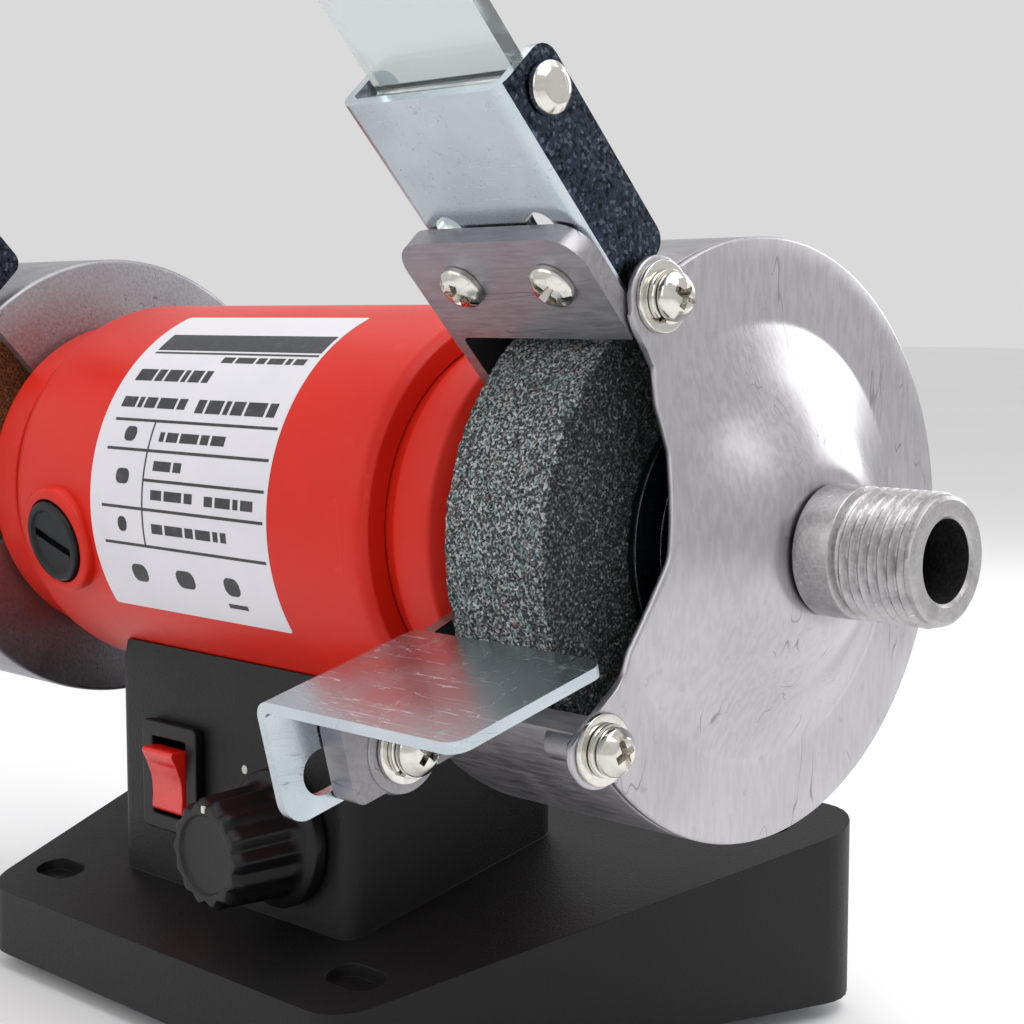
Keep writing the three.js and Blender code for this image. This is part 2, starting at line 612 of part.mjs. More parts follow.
function switchBody() {
  const { x, z, w, h } = SWITCH;
  const bezel = profileXZ(rounded([
    [x - w / 2, z - h / 2, 1], [x + w / 2, z - h / 2, 1], [x + w / 2, z + h / 2, 1], [x - w / 2, z + h / 2, 1]]),
  COLUMN_FRONT - GAP - 1.8, COLUMN_FRONT - GAP);
  const body = block(x - 5.9, x + 5.9, COLUMN_FRONT - 1, -6, z - 7.7, z + 7.7);
  const well = block(x - 4.9, x + 4.9, COLUMN_FRONT - 4, -15.5, z - 6.9, z + 6.9);
  return cut(join(bezel, body), well);
}

// The rocker is drawn level, then tipped so that its upper end stands out.
function rocker() {
  const shape = rounded([[-2.6, -6.2, 0.6], [1.4, -5.2], [1.4, 5.2], [-2.6, 6.2, 0.6], [-1.3, 0]]);
  const tip = THREE.MathUtils.degToRad(11);
  return profileYZ(shape, SWITCH.x - 4.5, SWITCH.x + 4.5).rotateX(tip).translate(0, COLUMN_FRONT - 1.4, SWITCH.z);
}

function speedKnob() {
  const { skirt, grip, length } = KNOB;
  const flutes = 12;
  const body = turned([
    [0, 0], [skirt, 0], [skirt, 2.2], [grip + 0.6, 3.2], [grip, length - 1], [grip - 1, length], [0, length]], 24);
  const grooves = [];
  for (let k = 0; k < flutes; k += 1) {
    const a = (k * 2 * Math.PI) / flutes;
    const groove = new THREE.CylinderGeometry(0.75, 0.75, length, 4).rotateZ(Math.PI / 2);
    grooves.push(groove.translate(length / 2 + 4, (grip + 0.35) * Math.cos(a), (grip + 0.35) * Math.sin(a)));
  }
  const bore = rod(3.2, -1, 13.5);
  return cut(body, ...grooves, bore).rotateZ(-Math.PI / 2);
}

function potentiometer() {
  const inside = COLUMN_FRONT + SHELL_T + GAP;
  const can = new THREE.CylinderGeometry(8, 8, 8, 20).translate(0, inside + 4, 0);
  const spindle = new THREE.CylinderGeometry(2.9, 2.9, 14, SMALL).translate(0, inside - 6, 0);
  return join(can, spindle).translate(KNOB.x, 0, KNOB.z);
}

function controlBoard() {
  const board = block(-26, 26, 2, 3.6, -78, -42);
  const choke = block(-22, -8, 3, 15, -74, -60);
  const capacitor = block(4, 22, 3, 12, -72, -64);
  const heatSink = block(-4, 14, 3, 10, -56, -46);
  return join(board, choke, capacitor, heatSink);
}

function cableGland() {
  const back = 56 + GAP;
  const bore = 3.2;
  const gland = turned([
    [bore, 48], [4.3, 48], [4.3, back], [7, back], [7, back + 2], [5.6, back + 6], [4.7, back + 9], [bore, back + 9],
    [bore, 48]], 18);
  return gland.rotateZ(Math.PI / 2).translate(0, 0, -66);
}

// ---- assembly ----
function rotorGroup() {
  const group = new THREE.Group();
  group.add(part('rotor_shaft', rotorShaft(), STEEL));
  group.add(part('armature', armature(), LAMINATION));
  group.add(part('cooling_fan', coolingFan(), BLACK));
  const perSide = [
    ['inner_flange', innerFlange, BLACKENED], ['outer_flange', outerFlange, BLACKENED], ['wheel_nut', wheelNut, STEEL]];
  for (const [name, make, material] of perSide) {
    group.add(part(`${name}_right`, make(), material));
    group.add(part(`${name}_left`, mirrored(make()), material));
  }
  group.add(part('grinding_wheel_coarse', wheel(), GREY_GRIT));
  group.add(part('grinding_wheel_fine', mirrored(wheel()), BROWN_GRIT));
  return group;
}

function motorGroup() {
  const group = new THREE.Group();
  group.add(part('motor_housing', motorHousing(), RED));
  group.add(part('end_cap_right', endCap(), RED));
  group.add(part('end_cap_left', mirrored(endCap()), RED));
  group.add(part('bearing_right', bearing(), STEEL));
  group.add(part('bearing_left', mirrored(bearing()), STEEL));
  group.add(part('stator_core', statorCore(), LAMINATION));
  group.add(part('field_coil_upper', fieldCoil(), COPPER));
  group.add(part('field_coil_lower', fieldCoil().rotateX(Math.PI), COPPER));
  const brushes = [['brush_cap', brushCap, BLACK], ['carbon_brush', carbonBrush, CARBON]];
  for (const [name, make, material] of brushes) {
    group.add(part(`${name}_front`, make(), material));
    group.add(part(`${name}_rear`, rearBrush(make()), material));
  }
  return group;
}

function sideGroup(side) {
  const group = new THREE.Group();
  const handed = side === 'left' ? mirrored : (geometry) => geometry;
  const add = (name, geometry, material) => group.add(part(`${name}_${side}`, handed(geometry), material));
  add('guard_body', guardBody(), CAST);
  add('guard_cover', guardCover(side === 'right' ? 7.2 : 0), SHEET);
  for (const ear of EARS) {
    const { y, z } = polar(ear.radius, ear.angle);
    const screw = panScrew(1.5, 8.5, 3.3, 2.4, 4.9).rotateX(ear.angle).translate(GUARD_X1, y, z);
    add(`cover_screw_${ear.name}`, screw, ZINC);
  }
  add('shield_bracket', shieldBracket(), ZINC);
  add('bracket_screw_inner', bracketScrew(LUG_SCREW_X[0]), ZINC);
  add('bracket_screw_outer', bracketScrew(LUG_SCREW_X[1]), ZINC);
  add('eye_shield', eyeShield(), CLEAR);
  add('shield_pin', shieldPin(), ZINC);
  add('tool_rest', toolRest(), ZINC);
  add('rest_bolt', restBolt(), ZINC);
  add('rest_washer', restWasher(), ZINC);
  return group;
}

function baseGroup() {
  const group = new THREE.Group();
  group.add(part('base_shell', baseShell(), BLACK));
  group.add(part('base_plate', basePlate(), STEEL));
  const feet = [['front_left', -38, -28], ['front_right', 38, -28], ['rear_left', -60, 42], ['rear_right', 60, 42]];
  for (const [name, x, y] of feet) {
    group.add(part(`rubber_foot_${name}`, rubberFoot(), RUBBER, { x, y, z: BASE_Z - FOOT_H }));
  }
  group.add(part('switch_body', switchBody(), BLACK));
  group.add(part('power_rocker', rocker(), ROCKER_RED));
  group.add(part('speed_knob', speedKnob(), BLACK, { x: KNOB.x, y: COLUMN_FRONT - 0.6, z: KNOB.z }));
  group.add(part('potentiometer', potentiometer(), STEEL));
  group.add(part('control_board', controlBoard(), BOARD));
  group.add(part('cable_gland', cableGland(), RUBBER));
  return group;
}

const grinder = new THREE.Group();
grinder.add(rotorGroup(), motorGroup(), sideGroup('right'), sideGroup('left'));
grinder.add(part('drive_outlet', drivenSpigot(), STEEL));
grinder.add(baseGroup());

const bounds = new THREE.Box3().setFromObject(grinder);
const middle = bounds.getCenter(new THREE.Vector3());
grinder.position.set(-middle.x, -middle.y, -bounds.min.z);

export default grinder;
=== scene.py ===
"""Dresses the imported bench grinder: shells, threads, screws, grit, label, finishes and light.

Every shape is drawn in millimetres round the motor axis, with X along the shaft, Z up and the
operator at -Y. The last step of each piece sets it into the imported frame, in metres.
"""

import logging
import math
from dataclasses import dataclass, field
from enum import Enum
from typing import Callable, Optional, Sequence

import bmesh
import bpy
from mathutils import Euler, Matrix, Vector


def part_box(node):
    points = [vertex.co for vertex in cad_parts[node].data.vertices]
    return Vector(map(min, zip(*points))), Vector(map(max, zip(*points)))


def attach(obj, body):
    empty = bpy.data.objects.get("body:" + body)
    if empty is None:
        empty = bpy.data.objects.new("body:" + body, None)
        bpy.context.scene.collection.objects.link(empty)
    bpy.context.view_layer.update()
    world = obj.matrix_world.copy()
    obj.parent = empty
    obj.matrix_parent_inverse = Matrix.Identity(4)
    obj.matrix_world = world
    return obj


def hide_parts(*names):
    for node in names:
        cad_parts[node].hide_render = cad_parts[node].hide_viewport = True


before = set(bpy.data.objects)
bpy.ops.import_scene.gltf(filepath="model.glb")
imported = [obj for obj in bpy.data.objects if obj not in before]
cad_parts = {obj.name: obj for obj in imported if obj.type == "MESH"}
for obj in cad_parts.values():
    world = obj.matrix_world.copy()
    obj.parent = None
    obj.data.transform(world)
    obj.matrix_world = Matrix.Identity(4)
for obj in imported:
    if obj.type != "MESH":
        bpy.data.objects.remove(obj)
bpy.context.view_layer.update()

LOG = logging.getLogger("grinder")
MM = 0.001
HALF_TURN = 180.0
BARREL_RADIUS = 33.8
SCREW_CREASE = 35.0
LINE_WIDTH = 0.022
MACHINE = "machine"
ROTOR = "rotor"

Corner = tuple[float, ...]
Pair = tuple[float, float]
Triple = tuple[float, float, float]
Outline = Sequence[Pair]
Piece = bpy.types.Object
Socket = bpy.types.NodeSocket
Tree = bpy.types.NodeTree


class Side(Enum):
    """The two ends of the machine. The drive outlet is on the right."""

    RIGHT = 1
    LEFT = -1

    @property
    def word(self) -> str:
        """The side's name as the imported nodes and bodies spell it."""
        return self.name.lower()


class Plane(Enum):
    """The plane an outline is drawn in: along which axes it lies, and which way it is pushed."""

    SIDE = (1, 2, 0)
    FRONT = (0, 2, 1)
    TOP = (0, 1, 2)


def motor_centre() -> Vector:
    """Finds the middle of the motor axis from the two wheels.

    Returns:
        The point in the frame, in metres, that all shapes are drawn around.
    """
    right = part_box("grinding_wheel_coarse")
    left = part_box("grinding_wheel_fine")
    centre = (right[0] + right[1]) / 2
    centre.x = (right[0].x + left[1].x) / 2
    return centre


ORIGIN = motor_centre()


def span(node: str) -> tuple[Vector, Vector]:
    """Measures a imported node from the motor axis.

    Args:
        node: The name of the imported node.

    Returns:
        Its lowest and highest corner in machine millimetres.
    """
    low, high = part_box(node)
    return (low - ORIGIN) / MM, (high - ORIGIN) / MM


def add_node(
    tree: Tree,
    kind: str,
    links: Optional[dict[object, object]] = None,
    **settings: object,
) -> bpy.types.Node:
    """Adds a node to a shader or geometry tree.

    Args:
        tree: The tree that gets the node.
        kind: Blender's name for the node's type.
        links: Input name or number to a socket to link from, or to a plain value.
        **settings: Properties of the node itself.

    Returns:
        The new node.
    """
    node = tree.nodes.new(kind)
    for key, value in settings.items():
        setattr(node, key, value)
    for key, value in (links or {}).items():
        if isinstance(value, Socket):
            tree.links.new(value, node.inputs[key])
        else:
            node.inputs[key].default_value = value
    return node


# ---------------------------------------------------------------- finishes


def linear(code: str) -> tuple[float, float, float, float]:
    """Turns an sRGB hex colour into the linear colour that Blender's sockets hold.

    Args:
        code: The colour, such as "#c8281e".

    Returns:
        Linear red, green, blue and an alpha of one.
    """
    channels = [int(code[i:i + 2], 16) / 255 for i in (1, 3, 5)]
    red, green, blue = [c / 12.92 if c <= 0.04045 else ((c + 0.055) / 1.055) ** 2.4 for c in channels]
    return red, green, blue, 1.0


class Texture(Enum):
    """The kinds of surface pattern."""

    CLOUD = 1
    GRAIN = 2
    CRYSTAL = 3
    HAIRLINE = 4


@dataclass(frozen=True)
class Pattern:
    """One procedural pattern and what it does to the surface under it.

    size is the pattern's spacing in millimetres. The pattern is off below start and full above
    stop. tint and amount colour it, gloss is added to the roughness, and depth is its height in
    millimetres. stretch lengthens the pattern along X, Y and Z, and turn rotates it, in degrees.
    """

    kind: Texture
    size: float
    start: float = 0.4
    stop: float = 0.6
    tint: str = ""
    amount: float = 0.0
    gloss: float = 0.0
    depth: float = 0.0
    stretch: Triple = (1.0, 1.0, 1.0)
    turn: Triple = (0.0, 0.0, 0.0)

    def factor(self, tree: Tree, place: Socket) -> Socket:
        """Draws the pattern.

        Args:
            tree: The material's node tree.
            place: Object coordinates, in metres.

        Returns:
            A socket that is 0 where the pattern is off and 1 where it is full.
        """
        mapping = add_node(tree, "ShaderNodeMapping", {
            "Vector": place,
            "Rotation": tuple(math.radians(a) for a in self.turn),
            "Scale": tuple(1 / (self.size * MM * s) for s in self.stretch),
        }).outputs[0]
        if self.kind is Texture.CRYSTAL:
            cells = add_node(tree, "ShaderNodeTexVoronoi", {"Vector": mapping, "Scale": 1.0})
            value = add_node(tree, "ShaderNodeSeparateColor", {0: cells.outputs["Color"]}).outputs[0]
        else:
            detail = {Texture.CLOUD: 3.0, Texture.GRAIN: 6.0, Texture.HAIRLINE: 1.0}[self.kind]
            noise = add_node(tree, "ShaderNodeTexNoise",
                             {"Vector": mapping, "Scale": 1.0, "Detail": detail})
            value = noise.outputs["Fac"]
        if self.kind is Texture.HAIRLINE:
            value = self.hairline(tree, mapping, value)
        ranged = add_node(tree, "ShaderNodeMapRange", {
            "Value": value, "From Min": self.start, "From Max": self.stop},
            interpolation_type="SMOOTHSTEP")
        return ranged.outputs[0]

    def hairline(
        self, tree: Tree, mapping: Socket, value: Socket
    ) -> Socket:
        """Turns soft noise into thin broken lines along its middle level.

        Args:
            tree: The material's node tree.
            mapping: The scaled coordinates.
            value: The noise.

        Returns:
            A socket near 1 on the lines, where a second noise lets them show.
        """
        offset = add_node(tree, "ShaderNodeMath", {0: value, 1: 0.5}, operation="SUBTRACT").outputs[0]
        height = add_node(tree, "ShaderNodeMath", {0: offset}, operation="ABSOLUTE").outputs[0]
        line = add_node(tree, "ShaderNodeMapRange", {
            "Value": height, "From Min": 0.0, "From Max": LINE_WIDTH, "To Min": 1.0,
            "To Max": 0.0}).outputs[0]
        patch = add_node(tree, "ShaderNodeTexNoise", {"Vector": mapping, "Scale": 0.45, "Detail": 2.0})
        shown = add_node(tree, "ShaderNodeMapRange", {
            "Value": patch.outputs["Fac"], "From Min": 0.5, "From Max": 0.62}).outputs[0]
        return add_node(tree, "ShaderNodeMath", {0: line, 1: shown}, operation="MULTIPLY").outputs[0]


@dataclass(frozen=True)
class Finish:
    """A surface finish: a base colour and gloss, and the patterns laid over it in order."""

    name: str
    slot: str
    colour: str
    metallic: float
    roughness: float
    patterns: tuple[Pattern, ...] = ()
    sockets: tuple[tuple[str, float], ...] = ()

    def material(self) -> bpy.types.Material:
        """Builds the finish once and returns the same material after that."""
        found = bpy.data.materials.get(self.name)
        if found:
            return found
        made = bpy.data.materials.new(self.name)
        made.use_nodes = True
        tree = made.node_tree
        tree.nodes.clear()
        place = add_node(tree, "ShaderNodeTexCoord").outputs["Object"]
        colour: object = linear(self.colour)
        rough: object = self.roughness
        normal: object = None
        for pattern in self.patterns:
            factor = pattern.factor(tree, place)
            if pattern.tint:
                share = add_node(tree, "ShaderNodeMath", {0: factor, 1: pattern.amount},
                                 operation="MULTIPLY")
                mix = add_node(tree, "ShaderNodeMix", {
                    0: share.outputs[0], 6: colour, 7: linear(pattern.tint)}, data_type="RGBA")
                colour = mix.outputs[2]
            if pattern.gloss:
                more = {0: factor, 1: pattern.gloss, 2: rough}
                rough = add_node(tree, "ShaderNodeMath", more, operation="MULTIPLY_ADD",
                                 use_clamp=True).outputs[0]
            if pattern.depth:
                bump = {"Height": factor, "Distance": abs(pattern.depth) * MM, "Strength": 1.0}
                if normal is not None:
                    bump["Normal"] = normal
                raised = add_node(tree, "ShaderNodeBump", bump, invert=pattern.depth < 0)
                normal = raised.outputs[0]
        shader = add_node(tree, "ShaderNodeBsdfPrincipled", {
            "Base Color": colour, "Metallic": self.metallic, "Roughness": rough, **dict(self.sockets)})
        if normal is not None:
            tree.links.new(normal, shader.inputs["Normal"])
        add_node(tree, "ShaderNodeOutputMaterial", {"Surface": shader.outputs[0]})
        return made


@dataclass(frozen=True)
class Finishes:
    """Every finish on the machine, named for what it really is."""

    # Injection-moulded ABS in signal red: a soft sheen, faintly mottled, with an eggshell grain.
    red_abs: Finish = Finish("red_moulded_abs", "red_plastic", "#d02413", 0.0, 0.34, (
        Pattern(Texture.CLOUD, 22, 0.3, 0.8, "#b61c0e", 0.35, 0.04),
        Pattern(Texture.GRAIN, 0.5, 0.3, 0.7, gloss=0.05, depth=0.004),
        Pattern(Texture.HAIRLINE, 3, 0.3, 0.9, "#dd412c", 0.3, depth=-0.003, stretch=(1, 1, 9),
                turn=(0, 20, 0)),
    ), (("IOR", 1.53), ("Specular IOR Level", 0.22)))
    # Moulded ABS in black with a spark-eroded satin texture: greyish where light grazes it.
    black_abs: Finish = Finish("black_textured_abs", "black_plastic", "#0f0f11", 0.0, 0.44, (
        Pattern(Texture.GRAIN, 0.45, 0.3, 0.7, "#19191b", 0.5, 0.08, 0.02),
        Pattern(Texture.CLOUD, 30, 0.4, 0.7, "#161618", 0.5, 0.05),
    ), (("IOR", 1.53), ("Specular IOR Level", 0.28)))
    # Nylon for knob and caps: smoother and a little shinier than the base.
    black_nylon: Finish = Finish("black_moulded_nylon", "black_plastic", "#0c0c0e", 0.0, 0.36, (
        Pattern(Texture.GRAIN, 0.7, 0.3, 0.7, "#151518", 0.5, 0.06, 0.01),
    ), (("IOR", 1.53), ("Specular IOR Level", 0.3)))
    # Spun and pressed aluminium sheet: satin, with spinning haze, handling marks and short scuffs.
    pressed_alloy: Finish = Finish("pressed_aluminium_sheet", "pressed_alloy", "#b6b4b8", 1.0, 0.27, (
        Pattern(Texture.CLOUD, 17, 0.35, 0.7, "#a6a4a9", 0.5, 0.08),
        Pattern(Texture.GRAIN, 0.7, 0.35, 0.65, "#cac8cb", 0.35, 0.05, 0.004, (1, 1, 5), (20, 0, 0)),
        Pattern(Texture.CLOUD, 2.2, 0.64, 0.75, "#918f94", 0.3, 0.05),
        Pattern(Texture.HAIRLINE, 3.2, 0.3, 0.9, "#66646b", 0.5, 0.12, -0.006, (1, 1, 5), (50, 0, 0)),
    ))
    # Die-cast aluminium straight from the tumbler: darker than sheet, with a fine flowed grain.
    cast_alloy: Finish = Finish("die_cast_aluminium", "cast_alloy", "#9a989d", 1.0, 0.36, (
        Pattern(Texture.CLOUD, 9, 0.35, 0.7, "#838186", 0.5, 0.08),
        Pattern(Texture.GRAIN, 0.7, 0.3, 0.7, "#b0aeb2", 0.45, 0.08, 0.012, (6, 1, 1)),
        Pattern(Texture.HAIRLINE, 2.5, 0.3, 0.9, "#66646a", 0.6, 0.1, -0.008, (8, 1, 1), (0, 0, 8)),
    ))
    # Bright zinc on cold-rolled steel: bluish and mirror-like under fine crossing scratches, light
    # one way and dark the other.
    zinc_plate: Finish = Finish("bright_zinc_plated_sheet", "zinc_plate", "#c3ccd1", 1.0, 0.22, (
        Pattern(Texture.CLOUD, 9, 0.3, 0.75, "#aab6bd", 0.45, 0.06),
        Pattern(Texture.HAIRLINE, 0.7, 0.2, 0.9, "#eef2f4", 0.4, 0.2, 0.003, (14, 1, 1), (0, 0, 28)),
        Pattern(Texture.HAIRLINE, 0.8, 0.2, 0.9, "#8e999f", 0.4, 0.2, -0.003, (1, 13, 1), (0, 0, -22)),
        Pattern(Texture.GRAIN, 0.6, 0.35, 0.65, depth=0.003),
    ))
    # The outer face of a folded flange: zinc painted dark for the dark reflection it shows there,
    # crusted and blotchy.
    dark_zinc: Finish = Finish("dark_mottled_zinc", "zinc_plate", "#2c3340", 1.0, 0.24, (
        Pattern(Texture.CLOUD, 1.6, 0.45, 0.62, "#0d1016", 0.85, 0.1),
        Pattern(Texture.CRYSTAL, 0.5, 0.8, 0.95, "#77828e", 0.55, -0.05, 0.02),
        Pattern(Texture.GRAIN, 0.7, 0.4, 0.6, "#4a535f", 0.4, 0.1, 0.02),
    ))
    # Nickel-plated fasteners: the shiniest metal on the machine, warm against the zinc.
    nickel: Finish = Finish("nickel_plated_screw", "zinc_plate", "#dcd9d2", 1.0, 0.12, (
        Pattern(Texture.CLOUD, 1.5, 0.45, 0.7, "#bdb9b0", 0.4, 0.12),
        Pattern(Texture.HAIRLINE, 2, 0.3, 0.9, "#8c8a85", 0.4, 0.15, -0.004),
    ))
    # Turned and tumbled steel of the outlet: matt grey with small bright nicks on the crests.
    turned_steel: Finish = Finish("turned_steel_outlet", "machined_steel", "#aaa8a9", 1.0, 0.36, (
        Pattern(Texture.GRAIN, 0.5, 0.35, 0.65, "#c6c4c4", 0.45, 0.1, 0.012),
        Pattern(Texture.CLOUD, 3, 0.45, 0.7, "#8a8889", 0.45, 0.08),
        Pattern(Texture.CLOUD, 0.9, 0.68, 0.75, "#e6e4e2", 0.6, -0.1),
    ))
    # The bore of the outlet, left rough from the drill; its dark colour is painted shade inside the
    # hole.
    drilled_steel: Finish = Finish("oily_drilled_bore", "machined_steel", "#3b3a3a", 0.8, 0.55, (
        Pattern(Texture.GRAIN, 0.6, 0.35, 0.65, "#161616", 0.7, 0.1, 0.03, (0.5, 1, 1)),
        Pattern(Texture.CLOUD, 1.4, 0.5, 0.7, "#5b5a59", 0.4, -0.1),
    ))
    # Ground steel: even, fine and bright, for shafts, nuts and bearings.
    ground_steel: Finish = Finish("ground_steel", "machined_steel", "#a5a7ab", 1.0, 0.26, (
        Pattern(Texture.GRAIN, 0.4, 0.35, 0.65, "#8d8f93", 0.4, 0.1, 0.003, (12, 1, 1)),
        Pattern(Texture.CLOUD, 5, 0.4, 0.7, "#7d7f83", 0.3, 0.08),
    ))
    # Black oxide on turned flanges: near black and glossy with oil, greyer where it rubs.
    black_oxide: Finish = Finish("black_oxide_steel", "blackened_steel", "#12151b", 0.6, 0.26, (
        Pattern(Texture.CLOUD, 4, 0.4, 0.7, "#171a20", 0.6, 0.1),
        Pattern(Texture.GRAIN, 0.6, 0.35, 0.65, gloss=0.06, depth=0.003),
    ))
    # The bare turned edge of a flange, where the oxide has rubbed off to a thin bright line.
    rubbed_edge: Finish = Finish("rubbed_steel_edge", "machined_steel", "#b4b6ba", 1.0, 0.22, (
        Pattern(Texture.CLOUD, 1.2, 0.45, 0.7, "#5a5c60", 0.7, 0.15),
    ))
    # Coarse silicon carbide in a dark bond: pale glinting grains, black pores and a few green ones.
    grey_grit: Finish = Finish("silicon_carbide_grit", "grey_grit", "#373c3e", 0.0, 0.86, (
        Pattern(Texture.GRAIN, 0.42, 0.44, 0.56, "#a3a9aa", 0.8, -0.15, 0.22),
        Pattern(Texture.CRYSTAL, 0.3, 0.62, 0.8, "#0d0f10", 0.85, 0.1, -0.12),
        Pattern(Texture.CRYSTAL, 0.36, 0.84, 0.92, "#d2d8d8", 0.75, -0.25, 0.08),
        Pattern(Texture.CRYSTAL, 0.55, 0.92, 0.96, "#7fa8a4", 0.5),
        Pattern(Texture.CRYSTAL, 0.62, 0.955, 0.98, "#8f6a60", 0.45),
        Pattern(Texture.CLOUD, 14, 0.3, 0.75, "#343a3c", 0.3),
    ))
    # The flat sides of the coarse wheel: the same grains, darkened as painted shade on the side faces.
    grey_grit_side: Finish = Finish("silicon_carbide_side_skin", "grey_grit", "#1f2223", 0.0, 0.9, (
        Pattern(Texture.GRAIN, 0.42, 0.44, 0.58, "#62696a", 0.75, -0.1, 0.2),
        Pattern(Texture.CRYSTAL, 0.3, 0.62, 0.8, "#08090a", 0.85, 0.1, -0.12),
        Pattern(Texture.CRYSTAL, 0.36, 0.88, 0.95, "#a3aaaa", 0.6, -0.2, 0.06),
    ))
    # Fine brown corundum: an even warm brown with small pale grains and pores.
    brown_grit: Finish = Finish("brown_corundum_grit", "brown_grit", "#8e4a26", 0.0, 0.88, (
        Pattern(Texture.GRAIN, 0.5, 0.42, 0.6, "#b8713f", 0.75, -0.1, 0.16),
        Pattern(Texture.CRYSTAL, 0.3, 0.7, 0.8, "#3c1c0d", 0.75, 0.1, -0.1),
        Pattern(Texture.CLOUD, 12, 0.3, 0.75, "#7a3d1e", 0.35),
    ))
    # Polyester film for the rating label: slightly lilac white with a low, even gloss.
    label_film: Finish = Finish("polyester_label_film", "red_plastic", "#d9d7dd", 0.0, 0.32, (
        Pattern(Texture.CLOUD, 14, 0.35, 0.75, "#cdcbd3", 0.5, 0.05),
        Pattern(Texture.GRAIN, 0.8, 0.35, 0.65, depth=0.002),
    ))
    # Thermal-transfer print: dark grey, a touch uneven where the ribbon was thin.
    print_ink: Finish = Finish("printed_grey_ink", "black_plastic", "#2e2f33", 0.0, 0.5, (
        Pattern(Texture.CLOUD, 1.2, 0.45, 0.75, "#55565b", 0.5, 0.1),
    ))
    # Polished red polycarbonate of the rocker: brighter and glossier than the motor.
    rocker_red: Finish = Finish("polished_red_polycarbonate", "rocker_red", "#df1f12", 0.0, 0.24, (
        Pattern(Texture.CLOUD, 5, 0.4, 0.7, "#c3170d", 0.4, 0.08),
        Pattern(Texture.HAIRLINE, 3, 0.3, 0.9, "#ee6a58", 0.3, depth=-0.003),
    ), (("IOR", 1.58), ("Coat Weight", 0.3)))
    # Pad print on switch and dial: off-white and matt.
    white_mark: Finish = Finish("white_pad_print", "black_plastic", "#cfcdc6", 0.0, 0.6, (
        Pattern(Texture.CLOUD, 0.8, 0.5, 0.75, "#aaa8a2", 0.5),
    ))
    # Vulcanised rubber: dead black with a bloom of grey dust.
    rubber: Finish = Finish("moulded_rubber", "rubber", "#121213", 0.0, 0.78, (
        Pattern(Texture.GRAIN, 0.7, 0.35, 0.65, "#1f1f21", 0.6, 0.05, 0.02),
        Pattern(Texture.CLOUD, 6, 0.5, 0.75, "#2a2a2c", 0.35),
    ))
    # Clear polycarbonate sheet: see-through with faint rubbing marks.
    clear_sheet: Finish = Finish("clear_polycarbonate_sheet", "clear_shield", "#eef4f5", 0.0, 0.06, (
        Pattern(Texture.CLOUD, 18, 0.45, 0.8, "#dfe7ea", 0.3, 0.05),
        Pattern(Texture.HAIRLINE, 11, 0.3, 0.9, "#ffffff", 0.3, 0.15),
    ), (("IOR", 1.585), ("Transmission Weight", 0.92)))
    # Enamelled copper wire: orange-brown lacquer over ridges one wire apart.
    copper: Finish = Finish("enamelled_copper_winding", "copper_winding", "#9c5227", 0.85, 0.3, (
        Pattern(Texture.GRAIN, 0.9, 0.35, 0.65, "#6e3214", 0.5, 0.1, 0.05, (10, 1, 1)),
    ))
    # Stacked electrical steel: dull grey-blue with the edge lines of its sheets.
    lamination: Finish = Finish("stacked_electrical_steel", "lamination", "#6f7378", 1.0, 0.45, (
        Pattern(Texture.GRAIN, 0.7, 0.35, 0.65, "#4b4e52", 0.5, 0.1, 0.02, (0.4, 8, 8)),
    ))
    # Pressed carbon: soft black with a faint metallic grain.
    carbon: Finish = Finish("pressed_carbon", "carbon", "#1d1d1f", 0.1, 0.62, (
        Pattern(Texture.GRAIN, 0.4, 0.35, 0.65, "#3a3a3d", 0.5, 0.08, 0.01),
    ))
    # Glass-fibre board under green solder mask: glossy with a woven ripple.
    board: Finish = Finish("solder_masked_glass_fibre", "circuit_board", "#1f5a34", 0.0, 0.3, (
        Pattern(Texture.GRAIN, 0.8, 0.35, 0.65, "#2f7a4a", 0.4, 0.05, 0.006),
    ))
    # Galvanised bottom plate: flat grey with soft spangle.
    bottom_plate: Finish = Finish("galvanised_bottom_plate", "machined_steel", "#9ea2a6", 1.0, 0.4, (
        Pattern(Texture.CRYSTAL, 7, 0.1, 1.0, "#b8bcc0", 0.4, 0.12),
        Pattern(Texture.HAIRLINE, 9, 0.25, 0.9, "#74787c", 0.4, 0.1),
    ))
    # Painted studio floor: nearly white, matt, without a visible texture.
    studio_floor: Finish = Finish("white_painted_floor", "rubber", "#f4f4f5", 0.0, 0.7, (
        Pattern(Texture.CLOUD, 260, 0.3, 0.8, "#efeff1", 0.5, 0.03),
    ))


FINISH = Finishes()


# ---------------------------------------------------------------- shapes


@dataclass
class Shell:
    """A closed surface in machine millimetres: its points and its faces."""

    points: list[Vector]
    faces: list[tuple[int, ...]]

    def moved(self, matrix: Matrix) -> "Shell":
        """Returns a copy carried by the matrix."""
        return Shell([matrix @ point for point in self.points], list(self.faces))


def round_at(radius: float, degrees: float, x: float) -> Vector:
    """A point at a radius, x along the shaft, and an angle above the front of the motor axis."""
    angle = math.radians(degrees)
    return Vector((x, -radius * math.cos(angle), radius * math.sin(angle)))


